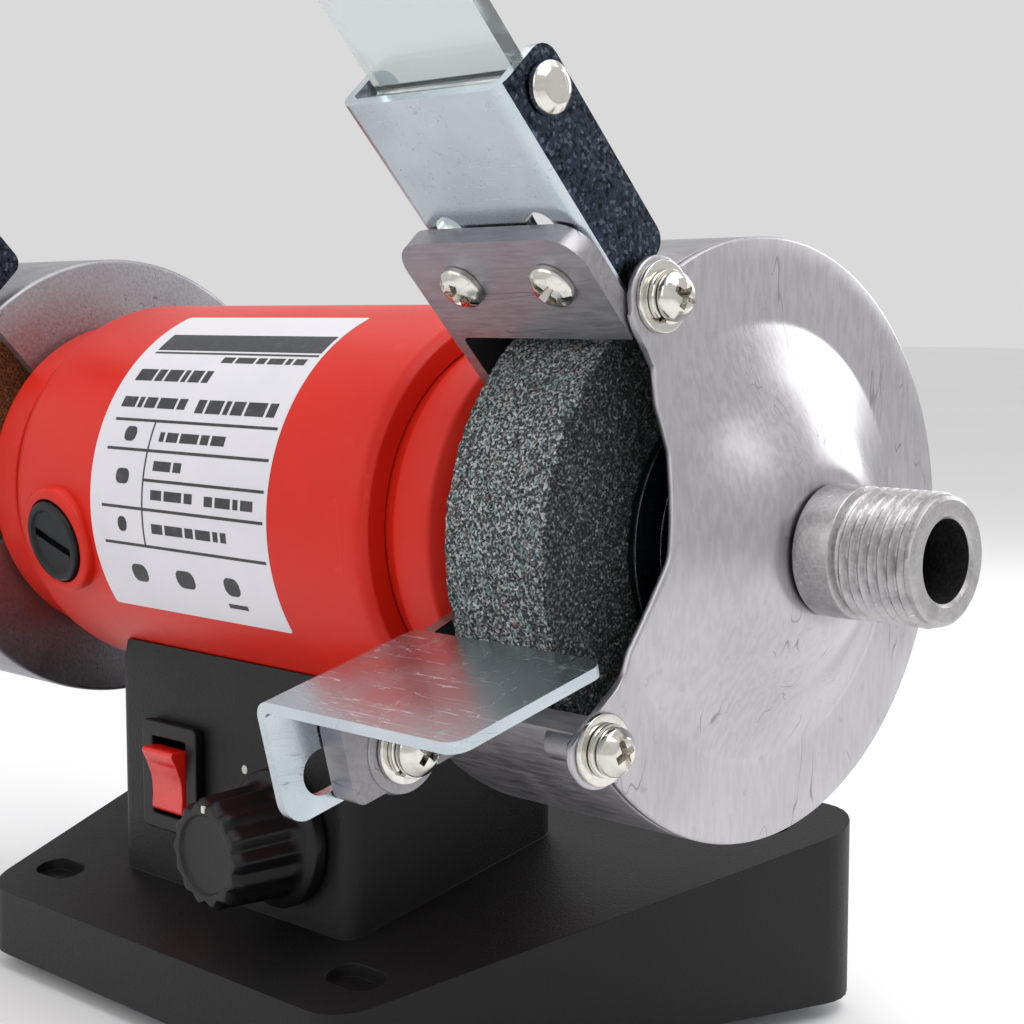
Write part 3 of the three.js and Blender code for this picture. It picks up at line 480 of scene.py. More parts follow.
def rounded(corners: Sequence[Corner], steps: int = 5) -> list[Pair]:
    """Rounds the corners of an outline with true arcs.

    Args:
        corners: The corners as (u, v) or (u, v, radius).
        steps: How many chords make each arc.

    Returns:
        The outline's points in order.
    """
    outline: list[Pair] = []
    for i, corner in enumerate(corners):
        here = Vector(corner[:2])
        radius = corner[2] if len(corner) > 2 else 0.0
        if radius <= 0:
            outline.append(tuple(here))
            continue
        before = (Vector(corners[i - 1][:2]) - here).normalized()
        after = (Vector(corners[(i + 1) % len(corners)][:2]) - here).normalized()
        half = before.angle(after) / 2
        centre = here + (before + after).normalized() * (radius / math.sin(half))
        first = here + before * (radius / math.tan(half)) - centre
        last = here + after * (radius / math.tan(half)) - centre
        start = math.atan2(first.y, first.x)
        turn = math.remainder(math.atan2(last.y, last.x) - start, math.tau)
        for k in range(steps + 1):
            angle = start + turn * k / steps
            outline.append((centre.x + radius * math.cos(angle), centre.y + radius * math.sin(angle)))
    return outline


def circle(u: float, v: float, radius: float, count: int = 32) -> list[Pair]:
    """A round outline of count points about (u, v)."""
    turns = [math.tau * k / count for k in range(count)]
    return [(u + radius * math.cos(a), v + radius * math.sin(a)) for a in turns]


def lofted(loops: Sequence[Sequence[Vector]], ring: bool = False) -> Shell:
    """Joins closed loops of equal length into one surface.

    Args:
        loops: The loops in order.
        ring: Whether the last loop joins the first; if not, both ends are capped.

    Returns:
        The closed shell.
    """
    count, rows = len(loops[0]), len(loops)
    faces: list[tuple[int, ...]] = []
    for i in range(rows if ring else rows - 1):
        j = (i + 1) % rows
        for k in range(count):
            m = (k + 1) % count
            faces.append((i * count + k, j * count + k, j * count + m, i * count + m))
    if not ring:
        faces.append(tuple(range(count)))
        faces.append(tuple((rows - 1) * count + k for k in reversed(range(count))))
    return Shell([point for loop in loops for point in loop], faces)


def turned(profile: Sequence[Corner], segments: int = 128, low: float = 0.0,
           high: float = 360.0) -> Shell:
    """Turns a closed profile about the motor axis.

    Args:
        profile: Corners as (radius, x) or (radius, x, fillet), closing on themselves.
        segments: Steps round a full turn.
        low: The angle above the front where a part turn starts, in degrees.
        high: The angle where it ends.

    Returns:
        The closed shell.
    """
    outline = rounded(profile)
    full = high - low >= 360.0
    steps = segments if full else max(2, round(segments * (high - low) / 360.0))
    angles = [low + (high - low) * k / steps for k in range(steps if full else steps + 1)]
    return lofted([[round_at(r, a, x) for r, x in outline] for a in angles], ring=full)


def prism(outline: Outline, low: float, high: float, plane: Plane) -> Shell:
    """Pushes an outline along the axis across its plane, from low to high."""
    loops = []
    for depth in (low, high):
        loop = []
        for u, v in outline:
            point = Vector((0.0, 0.0, 0.0))
            first, second, across = plane.value
            point[first], point[second], point[across] = u, v, depth
            loop.append(point)
        loops.append(loop)
    return lofted(loops)


def block(x: Pair, y: Pair, z: Pair) -> Shell:
    """A box between two values on each axis."""
    return prism([(x[0], y[0]), (x[1], y[0]), (x[1], y[1]), (x[0], y[1])], z[0], z[1], Plane.TOP)


def rod(radius: float, low: float, high: float, segments: int = 32) -> Shell:
    """A plain round bar along the shaft's line, from low to high."""
    return turned([(0, low), (radius, low), (radius, high), (0, high)], segments)


def panel(
    low: Pair, high: Pair, radius: float, steps: int = 5
) -> list[Pair]:
    """The outline of a rectangle with rounded corners."""
    (u0, v0), (u1, v1) = low, high
    return rounded([(u0, v0, radius), (u1, v0, radius), (u1, v1, radius), (u0, v1, radius)], steps)


def shift(x: float, y: float, z: float) -> Matrix:
    """Carries a shape along."""
    return Matrix.Translation((x, y, z))


def spin(degrees: float, axis: str) -> Matrix:
    """Turns a shape about an axis, in degrees."""
    return Matrix.Rotation(math.radians(degrees), 4, axis)


def link_new(name: str, data: bpy.types.ID) -> Piece:
    """Makes an object for a mesh, lamp or camera and adds it to the scene."""
    made = bpy.data.objects.new(name, data)
    bpy.context.scene.collection.objects.link(made)
    return made


def mesh_from(build: bmesh.types.BMesh, name: str) -> bpy.types.Mesh:
    """Ends a mesh under construction and returns it as a mesh of its own."""
    mesh = bpy.data.meshes.new(name)
    build.to_mesh(mesh)
    build.free()
    return mesh


def smooth(piece: Piece, crease: float) -> None:
    """Shades a piece smooth, apart from edges sharper than crease, in degrees."""
    piece.data.shade_smooth()
    piece.data.set_sharp_from_angle(angle=math.radians(crease))


def stage_piece(name: str, *shells: Shell) -> Piece:
    """Makes one object from closed shells, with doubles merged and faces turned outwards.

    Args:
        name: The piece's name.
        *shells: Its surfaces.

    Returns:
        The new object, linked to the scene.
    """
    build = bmesh.new()
    for shell in shells:
        vertices = [build.verts.new(point) for point in shell.points]
        for face in shell.faces:
            build.faces.new([vertices[i] for i in face])
    bmesh.ops.remove_doubles(build, verts=build.verts, dist=1e-4)
    bmesh.ops.recalc_face_normals(build, faces=build.faces)
    return link_new(name, mesh_from(build, name))


def bake(piece: Piece) -> None:
    """Replaces the piece's mesh with its evaluated one and drops its modifiers."""
    graph = bpy.context.evaluated_depsgraph_get()
    mesh = bpy.data.meshes.new_from_object(
        piece.evaluated_get(graph), preserve_all_data_layers=True, depsgraph=graph)
    piece.modifiers.clear()
    piece.data = mesh


def discard(*pieces: Piece) -> None:
    """Removes helper objects."""
    for piece in pieces:
        bpy.data.objects.remove(piece, do_unlink=True)


def combine(piece: Piece, how: str, *shells: Shell) -> None:
    """Joins shells to a piece, or cuts them out of it.

    Args:
        piece: The piece that changes.
        how: "UNION", "DIFFERENCE" or "INTERSECT".
        *shells: The other solids, used one after the other.
    """
    for shell in shells:
        tool = stage_piece("tool", shell)
        modifier = piece.modifiers.new("combine", "BOOLEAN")
        modifier.operation = how
        modifier.solver = "EXACT"
        modifier.object = tool
        bake(piece)
        discard(tool)


def ease(piece: Piece, width: float, steps: int = 2, angle: float = 40.0) -> None:
    """Rounds the edges sharper than an angle, in degrees, by a width in millimetres."""
    piece.data.shade_smooth()
    bevel = piece.modifiers.new("ease", "BEVEL")
    bevel.width = width
    bevel.segments = steps
    bevel.limit_method = "ANGLE"
    bevel.angle_limit = math.radians(angle)
    bevel.harden_normals = True
    bevel.miter_outer = "MITER_ARC"
    bake(piece)


def flip(piece: Piece) -> None:
    """Mirrors a piece to the other end of the machine and turns its faces outwards again."""
    piece.data.transform(Matrix.Diagonal((-1.0, 1.0, 1.0, 1.0)))
    piece.data.flip_normals()


def settle(
    piece: Piece,
    finish: Finish,
    body: str,
    nodes: Sequence[str] = (),
    side: Side = Side.RIGHT,
    crease: float = 32.0,
) -> Piece:
    """Sets a finished shape into the frame and reports it.

    Args:
        piece: The piece, drawn in machine millimetres on the right side.
        finish: Its finish.
        body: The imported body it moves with.
        nodes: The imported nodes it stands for.
        side: The side it belongs to; on the left it is mirrored first.
        crease: Edges sharper than this many degrees stay sharp.

    Returns:
        The same piece.
    """
    if side is Side.LEFT:
        flip(piece)
    mesh = piece.data
    mesh.transform(Matrix.Translation(ORIGIN) @ Matrix.Scale(MM, 4))
    mesh.materials.clear()
    mesh.materials.append(finish.material())
    if not mesh.has_custom_normals:
        smooth(piece, crease)
    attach(piece, body)
    if nodes:
        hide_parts(*nodes)
    LOG.info("%s: %d faces, rides on %s", piece.name, len(mesh.polygons), body)
    return piece


# ---------------------------------------------------------------- geometry nodes


class Recipe:
    """A Geometry Nodes tree with named inputs that ends in Realize Instances and Set Material."""

    def __init__(self, name: str, inputs: dict[str, str]) -> None:
        """Starts the tree.

        Args:
            name: The tree's name.
            inputs: Input name to socket type, after the geometry.
        """
        self.tree = bpy.data.node_groups.new(name, "GeometryNodeTree")
        self.tree.interface.new_socket("Geometry", in_out="INPUT", socket_type="NodeSocketGeometry")
        for label, kind in {**inputs, "Finish": "NodeSocketMaterial"}.items():
            self.tree.interface.new_socket(label, in_out="INPUT", socket_type=kind)
        self.tree.interface.new_socket("Geometry", in_out="OUTPUT", socket_type="NodeSocketGeometry")
        self.entry = add_node(self.tree, "NodeGroupInput")

    def given(self, label: str) -> Socket:
        """The socket of a named input."""
        return self.entry.outputs[label]

    def node(self, kind: str, links: Optional[dict[object, object]] = None,
             **settings: object) -> Socket:
        """Adds a node and returns its first output."""
        return add_node(self.tree, kind, links, **settings).outputs[0]

    def close(self, geometry: Socket) -> None:
        """Ends the tree: instances become real and get the finish."""
        real = self.node("GeometryNodeRealizeInstances", {0: geometry})
        dressed = self.node("GeometryNodeSetMaterial",
                            {"Geometry": real, "Material": self.given("Finish")})
        add_node(self.tree, "NodeGroupOutput", {0: dressed})

    def run(self, piece: Piece, finish: Finish, **values: object) -> None:
        """Runs the tree on a piece and keeps the result as its plain mesh.

        Args:
            piece: The object that carries the tree for a moment.
            finish: The finish that the tree sets.
            **values: Input values, with underscores for the spaces in their names.
        """
        modifier = piece.modifiers.new(self.tree.name, "NODES")
        modifier.node_group = self.tree
        values["Finish"] = finish.material()
        for item in self.tree.interface.items_tree:
            key = item.name.replace(" ", "_")
            if item.in_out == "INPUT" and key in values:
                modifier[item.identifier] = values[key]
        bake(piece)


class GritRecipe(Recipe):
    """Roughens a wheel: each point moves along its normal by grain-sized noise."""

    def __init__(self) -> None:
        """Builds the tree."""
        super().__init__("grit", {"Grain": "NodeSocketFloat", "Depth": "NodeSocketFloat",
                                  "Seed": "NodeSocketFloat"})
        scale = self.node("ShaderNodeMath", {0: 1.0, 1: self.given("Grain")}, operation="DIVIDE")
        noise = self.node("ShaderNodeTexNoise", {
            "W": self.given("Seed"), "Scale": scale, "Detail": 2.0, "Roughness": 0.7},
            noise_dimensions="4D")
        level = self.node("ShaderNodeMath", {0: noise, 1: 0.62}, operation="SUBTRACT")
        height = self.node("ShaderNodeMath", {0: level, 1: self.given("Depth")}, operation="MULTIPLY")
        normal = self.node("GeometryNodeInputNormal")
        offset = self.node("ShaderNodeVectorMath", {0: normal, "Scale": height}, operation="SCALE")
        self.close(self.node("GeometryNodeSetPosition",
                             {"Geometry": self.given("Geometry"), "Offset": offset}))


class WaveRecipe(Recipe):
    """Raises ridges round the motor axis: a helical thread, or straight flutes.

    The ridge's phase is Pitch Turns times the position along X plus Rounds times the angle, so
    a thread has one round and flutes have as many rounds as ridges and no pitch.
    """

    def __init__(self) -> None:
        """Builds the tree."""
        floats = ["Pitch Turns", "Rounds", "Depth", "Start", "End", "Fade", "Inner"]
        super().__init__("wave", {label: "NodeSocketFloat" for label in floats})
        place = self.node("GeometryNodeInputPosition")
        parts = add_node(self.tree, "ShaderNodeSeparateXYZ", {0: place})
        x, y, z = parts.outputs
        angle = self.node("ShaderNodeMath", {0: z, 1: y}, operation="ARCTAN2")
        turns = self.node("ShaderNodeMath", {0: angle, 1: math.tau}, operation="DIVIDE")
        rounds = self.node("ShaderNodeMath", {0: turns, 1: self.given("Rounds")}, operation="MULTIPLY")
        along = self.node("ShaderNodeMath", {
            0: x, 1: self.given("Pitch Turns"), 2: rounds}, operation="MULTIPLY_ADD")
        ridge = self.node("ShaderNodeMath", {0: along, 1: 0.5}, operation="PINGPONG")
        sharp = self.node("ShaderNodeMapRange", {"Value": ridge, "From Min": 0.04, "From Max": 0.46})
        rise = self.node("ShaderNodeMath", {0: self.given("Start"), 1: self.given("Fade")},
                         operation="ADD")
        fall = self.node("ShaderNodeMath", {0: self.given("End"), 1: self.given("Fade")},
                         operation="SUBTRACT")
        begin = self.node("ShaderNodeMapRange", {
            "Value": x, "From Min": self.given("Start"), "From Max": rise})
        finish = self.node("ShaderNodeMapRange", {
            "Value": x, "From Min": fall, "From Max": self.given("End"), "To Min": 1.0, "To Max": 0.0})
        flat = self.node("ShaderNodeCombineXYZ", {1: y, 2: z})
        length = add_node(self.tree, "ShaderNodeVectorMath", {0: flat},
                          operation="LENGTH").outputs["Value"]
        outside = self.node("ShaderNodeMath", {0: length, 1: self.given("Inner")},
                            operation="GREATER_THAN")
        window = self.node("ShaderNodeMath", {0: begin, 1: finish}, operation="MULTIPLY")
        shown = self.node("ShaderNodeMath", {0: window, 1: outside}, operation="MULTIPLY")
        height = self.node("ShaderNodeMath", {0: sharp, 1: self.given("Depth")}, operation="MULTIPLY")
        amount = self.node("ShaderNodeMath", {0: height, 1: shown}, operation="MULTIPLY")
        outward = self.node("ShaderNodeVectorMath", {0: flat}, operation="NORMALIZE")
        offset = self.node("ShaderNodeVectorMath", {0: outward, "Scale": amount}, operation="SCALE")
        self.close(self.node("GeometryNodeSetPosition",
                             {"Geometry": self.given("Geometry"), "Offset": offset}))


class SetRecipe(Recipe):
    """Sets one pattern piece at every point of a cloud, turned by the point's own turn."""

    TURN = "turn"

    def __init__(self) -> None:
        """Builds the tree."""
        super().__init__("set", {"Pattern": "NodeSocketObject", "Size": "NodeSocketFloat"})
        info = add_node(self.tree, "GeometryNodeObjectInfo", {"Object": self.given("Pattern")})
        turn = self.node("GeometryNodeInputNamedAttribute", {"Name": self.TURN},
                         data_type="FLOAT_VECTOR")
        self.close(self.node("GeometryNodeInstanceOnPoints", {
            "Points": self.given("Geometry"),
            "Instance": info.outputs["Geometry"],
            "Rotation": turn,
            "Scale": self.given("Size"),
        }))

    def place(
        self, name: str, pattern: Piece, spots: Sequence[tuple[Vector, Euler]], finish: Finish
    ) -> Piece:
        """Makes one object of all the copies.

        Args:
            name: The new piece's name.
            pattern: The piece to repeat, drawn at the origin.
            spots: Where each copy goes and how it is turned.
            finish: The copies' finish.

        Returns:
            The piece, still in machine millimetres.
        """
        mesh = bpy.data.meshes.new(name)
        mesh.from_pydata([tuple(place) for place, _ in spots], [], [])
        turns = mesh.attributes.new(self.TURN, "FLOAT_VECTOR", "POINT")
        for value, (_, turn) in zip(turns.data, spots):
            value.vector = tuple(turn)
        piece = link_new(name, mesh)
        self.run(piece, finish, Pattern=pattern, Size=1.0)
        return piece


# ---------------------------------------------------------------- bent sheet


@dataclass
class BentSheet:
    """Sheet metal cut flat and then folded.

    The flat outline lies in (s, t): s runs across the folds and t along them. fold turns a
    point of the flat sheet's middle layer into a point in machine millimetres.
    """

    thickness: float
    fold: Callable[[float, float], Vector]
    creases: Sequence[float]
    edge: float = 0.25

    def cut(
        self, name: str, outline: Outline, holes: Sequence[Outline] = ()
    ) -> Piece:
        """Cuts the blank, scores it where it will bend, folds it and gives it its thickness.

        Args:
            name: The piece's name.
            outline: The blank's outer edge.
            holes: Openings in the blank.

        Returns:
            The folded sheet.
        """
        build = bmesh.new()
        edges = []
        for loop in (outline, *holes):
            points = [build.verts.new((s, t, 0)) for s, t in loop]
            edges += [build.edges.new((points[i - 1], point)) for i, point in enumerate(points)]
        bmesh.ops.triangle_fill(build, use_beauty=True, use_dissolve=False, edges=edges,
                                normal=(0, 0, 1))
        for crease in self.creases:
            everything = [*build.verts, *build.edges, *build.faces]
            bmesh.ops.bisect_plane(build, geom=everything, plane_co=(crease, 0, 0), plane_no=(1, 0, 0))
        for vertex in build.verts:
            vertex.co = self.fold(vertex.co.x, vertex.co.y)
        piece = link_new(name, mesh_from(build, name))
        wall = piece.modifiers.new("thickness", "SOLIDIFY")
        wall.thickness = self.thickness
        wall.offset = 0.0
        wall.use_even_offset = True
        bake(piece)
        ease(piece, self.edge, 3, 55.0)
        return piece


# ---------------------------------------------------------------- wheels and rotor


@dataclass
class Wheel:
    """One abrasive wheel, with its grains standing out of the surface."""

    node: str
    side: Side
    finish: Finish
    grain: float
    depth: float
    seed: float
    bore: float = 5.2
    step: float = 0.52
    rim: float = 0.4
    coarser: float = 1.35
    skin_crease: float = 75.0
    # The finish for the flat side faces; on the coarse wheel it is darker, as painted shade.
    skin: Optional[Finish] = None

    def build(self, grit: GritRecipe) -> None:
        """Turns the wheel on a fine grid and roughens it."""
        low, high = span("grinding_wheel_coarse")
        radius = high.z
        reach = radius - self.rim - self.bore
        face = max(4, round((radius - self.bore) / (self.step * self.coarser)))
        width = max(4, round((high.x - low.x) / self.step))
        profile: list[Corner] = []
        profile += [(self.bore + reach * k / face, low.x) for k in range(face + 1)]
        profile += [(radius, low.x + self.rim + (high.x - low.x - 2 * self.rim) * k / width)
                    for k in range(width + 1)]
        profile += [(self.bore + reach * k / face, high.x) for k in reversed(range(face + 1))]
        piece = stage_piece(self.node + "_skin", turned(profile, round(math.tau * radius / self.step)))
        piece.data.shade_smooth()
        grit.run(piece, self.finish, Grain=self.grain, Depth=self.depth, Seed=self.seed)
        settle(piece, self.finish, ROTOR, [self.node], self.side, self.skin_crease)
        # The side faces take the second finish, whose darker colour is painted shade.
        if self.skin:
            piece.data.materials.append(self.skin.material())
            middle = ORIGIN.x + self.side.value * (low.x + high.x) / 2 * MM
            for face in piece.data.polygons:
                face.material_index = int(abs(face.center.x - middle) > (high.x - low.x - 0.7) / 2 * MM)


@dataclass
class WheelClamp:
    """The black flange outside a wheel, with the thin bright edges that rubbing leaves."""

    side: Side
    bore: float = 5.15
    step: float = 17.4
    edge: float = 0.26

    def build(self) -> None:
        """Turns the flange, and its bright edge rings as a piece of their own."""
        low, high = span("outer_flange_right")
        radius = high.z
        step = self.step
        rim = low.x + 1.25
        flange = turned([
            (self.bore, low.x), (radius, low.x), (radius, rim, 0.2), (step, high.x, 0.15),
            (step - 1.2, high.x - 0.1, 0.1), (self.bore, high.x - 0.1)], 144)
        piece = stage_piece(f"wheel_flange_{self.side.word}", flange)
        settle(piece, FINISH.black_oxide, ROTOR, [f"outer_flange_{self.side.word}"], self.side)
        rings = []
        for r, x in ((radius - 0.02, rim - 0.02), (step + 0.02, high.x - 0.05)):
            rings.append(turned([(r - self.edge, x), (r + 0.04, x - self.edge),
                                 (r + 0.08, x + 0.06, 0.03),
                                 (r - self.edge, x + 0.1, 0.03)], 144))
        edges = stage_piece(f"flange_edges_{self.side.word}", *rings)
        settle(edges, FINISH.rubbed_edge, ROTOR, (), self.side)


# ---------------------------------------------------------------- motor


def barrel_radius() -> float:
    """The radius of the plain barrel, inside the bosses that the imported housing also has."""
    return min(span("motor_housing")[1].z, BARREL_RADIUS)


@dataclass
class Motor:
    """The red motor shell, the two necks beside it, and the brush caps in their bosses."""

    brush_x: float = -32.8
    brush_turn: float = 12.6
    boss_radius: float = 9.6
    boss_top: float = 35.2
    hole_radius: float = 7.75
    cap_radius: float = 7.35
    cap_top: float = 36.1
    slot_turn: float = 20.0
    lip: float = 29.3
    wall: float = 2.5
    mouth: float = 3.4
    neck_start: float = 52.4

    def brush(self, profile: Sequence[Corner], rear: bool, segments: int = 64) -> Shell:
        """Turns a profile, as radius and distance from the motor axis, about the brush line."""
        return turned(profile, segments).moved(self.brush_line(rear) @ spin(-90.0, "Z"))

    def brush_line(self, rear: bool) -> Matrix:
        """Carries a shape drawn at the front of the motor axis to the front or rear brush."""
        return spin(self.brush_turn + (HALF_TURN if rear else 0.0), "X") @ shift(self.brush_x, 0, 0)

    def build(self) -> None:
        """Builds the shell, the necks and the caps."""
        self.build_shell()
        for side in Side:
            self.build_neck(side)
        for rear in (False, True):
            self.build_cap(rear)

    def build_shell(self) -> None:
        """Turns the barrel, rounds its left shoulder, and opens the brush bosses."""
        radius, half, wall = barrel_radius(), span("motor_housing")[1].x, self.wall
        barrel = turned([
            (self.lip, half), (radius - 1.3, half, 0.6), (radius, half - 1.6, 2.2),
            (radius, -half + 0.4, 5.6), (radius - 5.4, -half, 0.8), (self.lip - 1.2, -half),
            (self.lip - 1.2, -half + 3), (radius - wall, -half + 5.4),
            (radius - wall, half - self.mouth), (self.lip, half - self.mouth)], 192)
        piece = stage_piece("motor_barrel", barrel)
        for rear in (False, True):
            boss = self.brush([(0, 29.5), (self.boss_radius, 29.5),
                               (self.boss_radius, self.boss_top, 0.9),
                               (0, self.boss_top)], rear)
            hole = self.brush([(0, 25), (self.hole_radius, 25), (self.hole_radius, 41), (0, 41)], rear)
            combine(piece, "UNION", boss)
            combine(piece, "DIFFERENCE", hole)
        settle(piece, FINISH.red_abs, MACHINE, ["motor_housing"])

    def build_neck(self, side: Side) -> None:
        """Turns the narrower ring between the barrel and the guard."""
        low, high = span("end_cap_right")
        radius = high.z
        neck = turned([
            (6.5, high.x), (radius - 2.2, high.x, 0.6), (radius, high.x - 1.6, 1.2),
            (radius, self.neck_start, 0.5), (29, self.neck_start, 0.2), (29, low.x), (27, low.x),
            (27, 51.2), (16, 51.2), (16, 48), (13.2, 48),
            (13.2, 60), (6.5, 60)], 160)
        piece = stage_piece(f"motor_neck_{side.word}", neck)
        settle(piece, FINISH.red_abs, MACHINE, [f"end_cap_{side.word}"], side)

    def build_cap(self, rear: bool) -> None:
        """Turns a slotted brush cap with a raised ring."""
        where = "rear" if rear else "front"
        cap = self.brush([
            (0, 31.8), (self.cap_radius, 31.8), (self.cap_radius, self.cap_top, 0.7),
            (5.9, self.cap_top, 0.2),
            (5.6, self.cap_top - 0.5, 0.2), (0, self.cap_top - 0.35)], rear)
        piece = stage_piece(f"brush_screw_cap_{where}", cap)
        slot = block((-5.2, 5.2), (-37.5, -34.4), (-0.75, 0.75))
        combine(piece, "DIFFERENCE", slot.moved(self.brush_line(rear) @ spin(self.slot_turn, "Y")))
        settle(piece, FINISH.black_nylon, MACHINE, [f"brush_cap_{where}"])


@dataclass
class RatingLabel:
    """The film label wrapped on the motor, printed only with neutral bars, rules and shapes."""

    x: Pair = (-21.8, 27.2)
    angle: Pair = (-32.0, 69.0)
    rules: Sequence[float] = (25.2, 16.4, -0.3, -11.0)
    inner_rule: float = 8.0
    column: float = -6.3
    margin: float = 3.6
    line: float = 0.42
    film: float = 0.08
    film_corner: float = 0.6
    icon_x: float = -12.4
    thinnest: float = 0.06
    print_top: float = 0.12

    def wrapped(self, x: Pair, angle: Pair, lift: float, corner: float = 0.0) -> Shell:
        """A thin patch that follows the barrel.

        Args:
            x: Its ends along the shaft.
            angle: Its ends round the barrel, in degrees above the front.
            lift: The height of its top above the barrel.
            corner: The radius of its corners, in millimetres.

        Returns:
            The closed patch.
        """
        radius = barrel_radius()
        degree = math.radians(1.0) * radius
        steps = max(1, round((angle[1] - angle[0]) / 2.0))
        bands = [angle[0] + (angle[1] - angle[0]) * k / steps for k in range(steps + 1)]
        if corner:
            extra = [corner / degree * (1 - math.cos(math.radians(a))) for a in (0, 30, 60, 90)]
            bands = sorted({*bands, *(angle[0] + e for e in extra), *(angle[1] - e for e in extra)})
        loops = []
        for a in bands:
            inset = 0.0
            edge = min(a - angle[0], angle[1] - a) * degree
            if edge < corner:
                inset = corner - math.sqrt(max(0.0, corner ** 2 - (corner - edge) ** 2))
            ends = (x[0] + inset, x[1] - inset)
            top, base = radius + lift, radius + lift - self.thinnest
            loops.append([round_at(base, a, ends[0]), round_at(base, a, ends[1]),
                          round_at(top, a, ends[1]), round_at(top, a, ends[0])])
        return lofted(loops)

    def mark(self, low: float, high: float, angle: float, height: float, corner: float = 0.0) -> Shell:
        """A printed patch from low to high along the shaft, height degrees tall about an angle."""
        return self.wrapped((low, high), (angle - height / 2, angle + height / 2), self.print_top,
                            corner)

    def words(self, x: Pair, angle: float, height: float, seed: int) -> list[Shell]:
        """A line of plain bars of mixed lengths, in place of words."""
        bars = []
        at = x[0]
        index = seed
        while at < x[1] - 0.8:
            width = 1.3 + 0.9 * ((index * 7) % 5)
            end = min(at + width, x[1])
            bars.append(self.mark(at, end, angle, height))
            at = end + 0.7
            index += 1
        return bars

    def build(self) -> None:
        """Lays the film, then the rules, bars and marks."""
        film = stage_piece("rating_label",
                           self.wrapped(self.x, self.angle, self.film, self.film_corner))
        settle(film, FINISH.label_film, MACHINE)
        left, right = self.x[0] + self.margin, self.x[1] - 0.9
        spread = (self.rules[-1], self.rules[0])
        ink = [self.wrapped((left, right), band, self.print_top) for band in ((50.2, 57.6),
            (48.7, 49.4))]
        ink += [self.mark(left, right, angle, 2 * self.line) for angle in self.rules]
        ink.append(self.mark(self.column, right, self.inner_rule, 2 * self.line))
        ink.append(self.wrapped((self.column - 0.2, self.column + 0.2), spread, self.print_top))
        lines = [
            ((2.5, 24.3), 46.6, 2.2, 1), ((left, 2.6), 40.2, 4.2, 2), ((left, 1.0), 30.8, 3.4, 4),
            ((3.2, 24.3), 30.4, 4.2, 3), ((-3.9, 14.0), 20.6, 2.8, 5), ((-3.9, 5.0), 12.2, 2.8, 2),
            ((-3.9, 8.5), 4.0, 2.8, 6), ((11.0, 24.5), 3.8, 2.8, 3), ((-3.9, 16.6), -5.6, 2.8, 1)]
        for place, angle, height, seed in lines:
            ink += self.words(place, angle, height, seed)
        for angle, width in ((21.0, 3.4), (8.6, 3.8), (-5.2, 2.6)):
            ink.append(self.mark(self.icon_x - width / 2, self.icon_x + width / 2, angle, 4.4, 1.1))
        for x, width in ((-10.0, 4.4), (3.0, 5.0), (15.6, 4.0)):
            ink.append(self.mark(x - width / 2, x + width / 2, -19.75, 5.5, 1.3))
        ink.append(self.wrapped((13.0, 18.0), (-26.6, -25.2), self.print_top))
        settle(stage_piece("label_print", *ink), FINISH.print_ink, MACHINE)


# ---------------------------------------------------------------- guards


@dataclass
class Ear:
    """A round ear on the guard for a cover screw."""

    radius: float
    angle: float

    def point(self, x: float) -> Vector:
        """The screw's place at a distance along the shaft."""
        return round_at(self.radius, self.angle, x)


@dataclass
class GuardLayout:
    """The sizes that the parts round one wheel share. Angles are in degrees above the front."""

    opening_top: float = 47.0
    opening_low: float = -31.0
    plate_low: float = -21.5
    inner_face: float = 62.0
    radius: float = 43.0
    wall: float = 3.5
    plate: float = 2.2
    sheet: float = 1.2
    gap: float = 0.3
    lug_top: float = 57.0
    lug_low: float = 41.0
    lug_depth: float = 3.0
    lug_screws: Pair = (71.5, 88.7)
    lug_screw_radius: float = 49.5
    bolt_y: float = -44.6
    bolt_z: float = -26.5
    tilt: float = 14.0
    arm: Pair = (66.4, 70.9)
    ears: tuple[Ear, Ear] = (Ear(41.6, 56.0), Ear(42.2, -35.0))

    @property
    def cover_face(self) -> float:
        """The outer face of the cover's flat rim."""
        return span("guard_cover_right")[0].x + self.sheet

    def lean(self) -> Matrix:
        """Carries a shape drawn upright, Z along the lug and Y behind it, into place."""
        return spin(90.0 - self.opening_top, "X")

    def rest(self) -> Matrix:
        """Carries a shape drawn level about the rest's bolt into place."""
        return shift(0, self.bolt_y, self.bolt_z) @ spin(self.tilt, "X")


LAYOUT = GuardLayout()


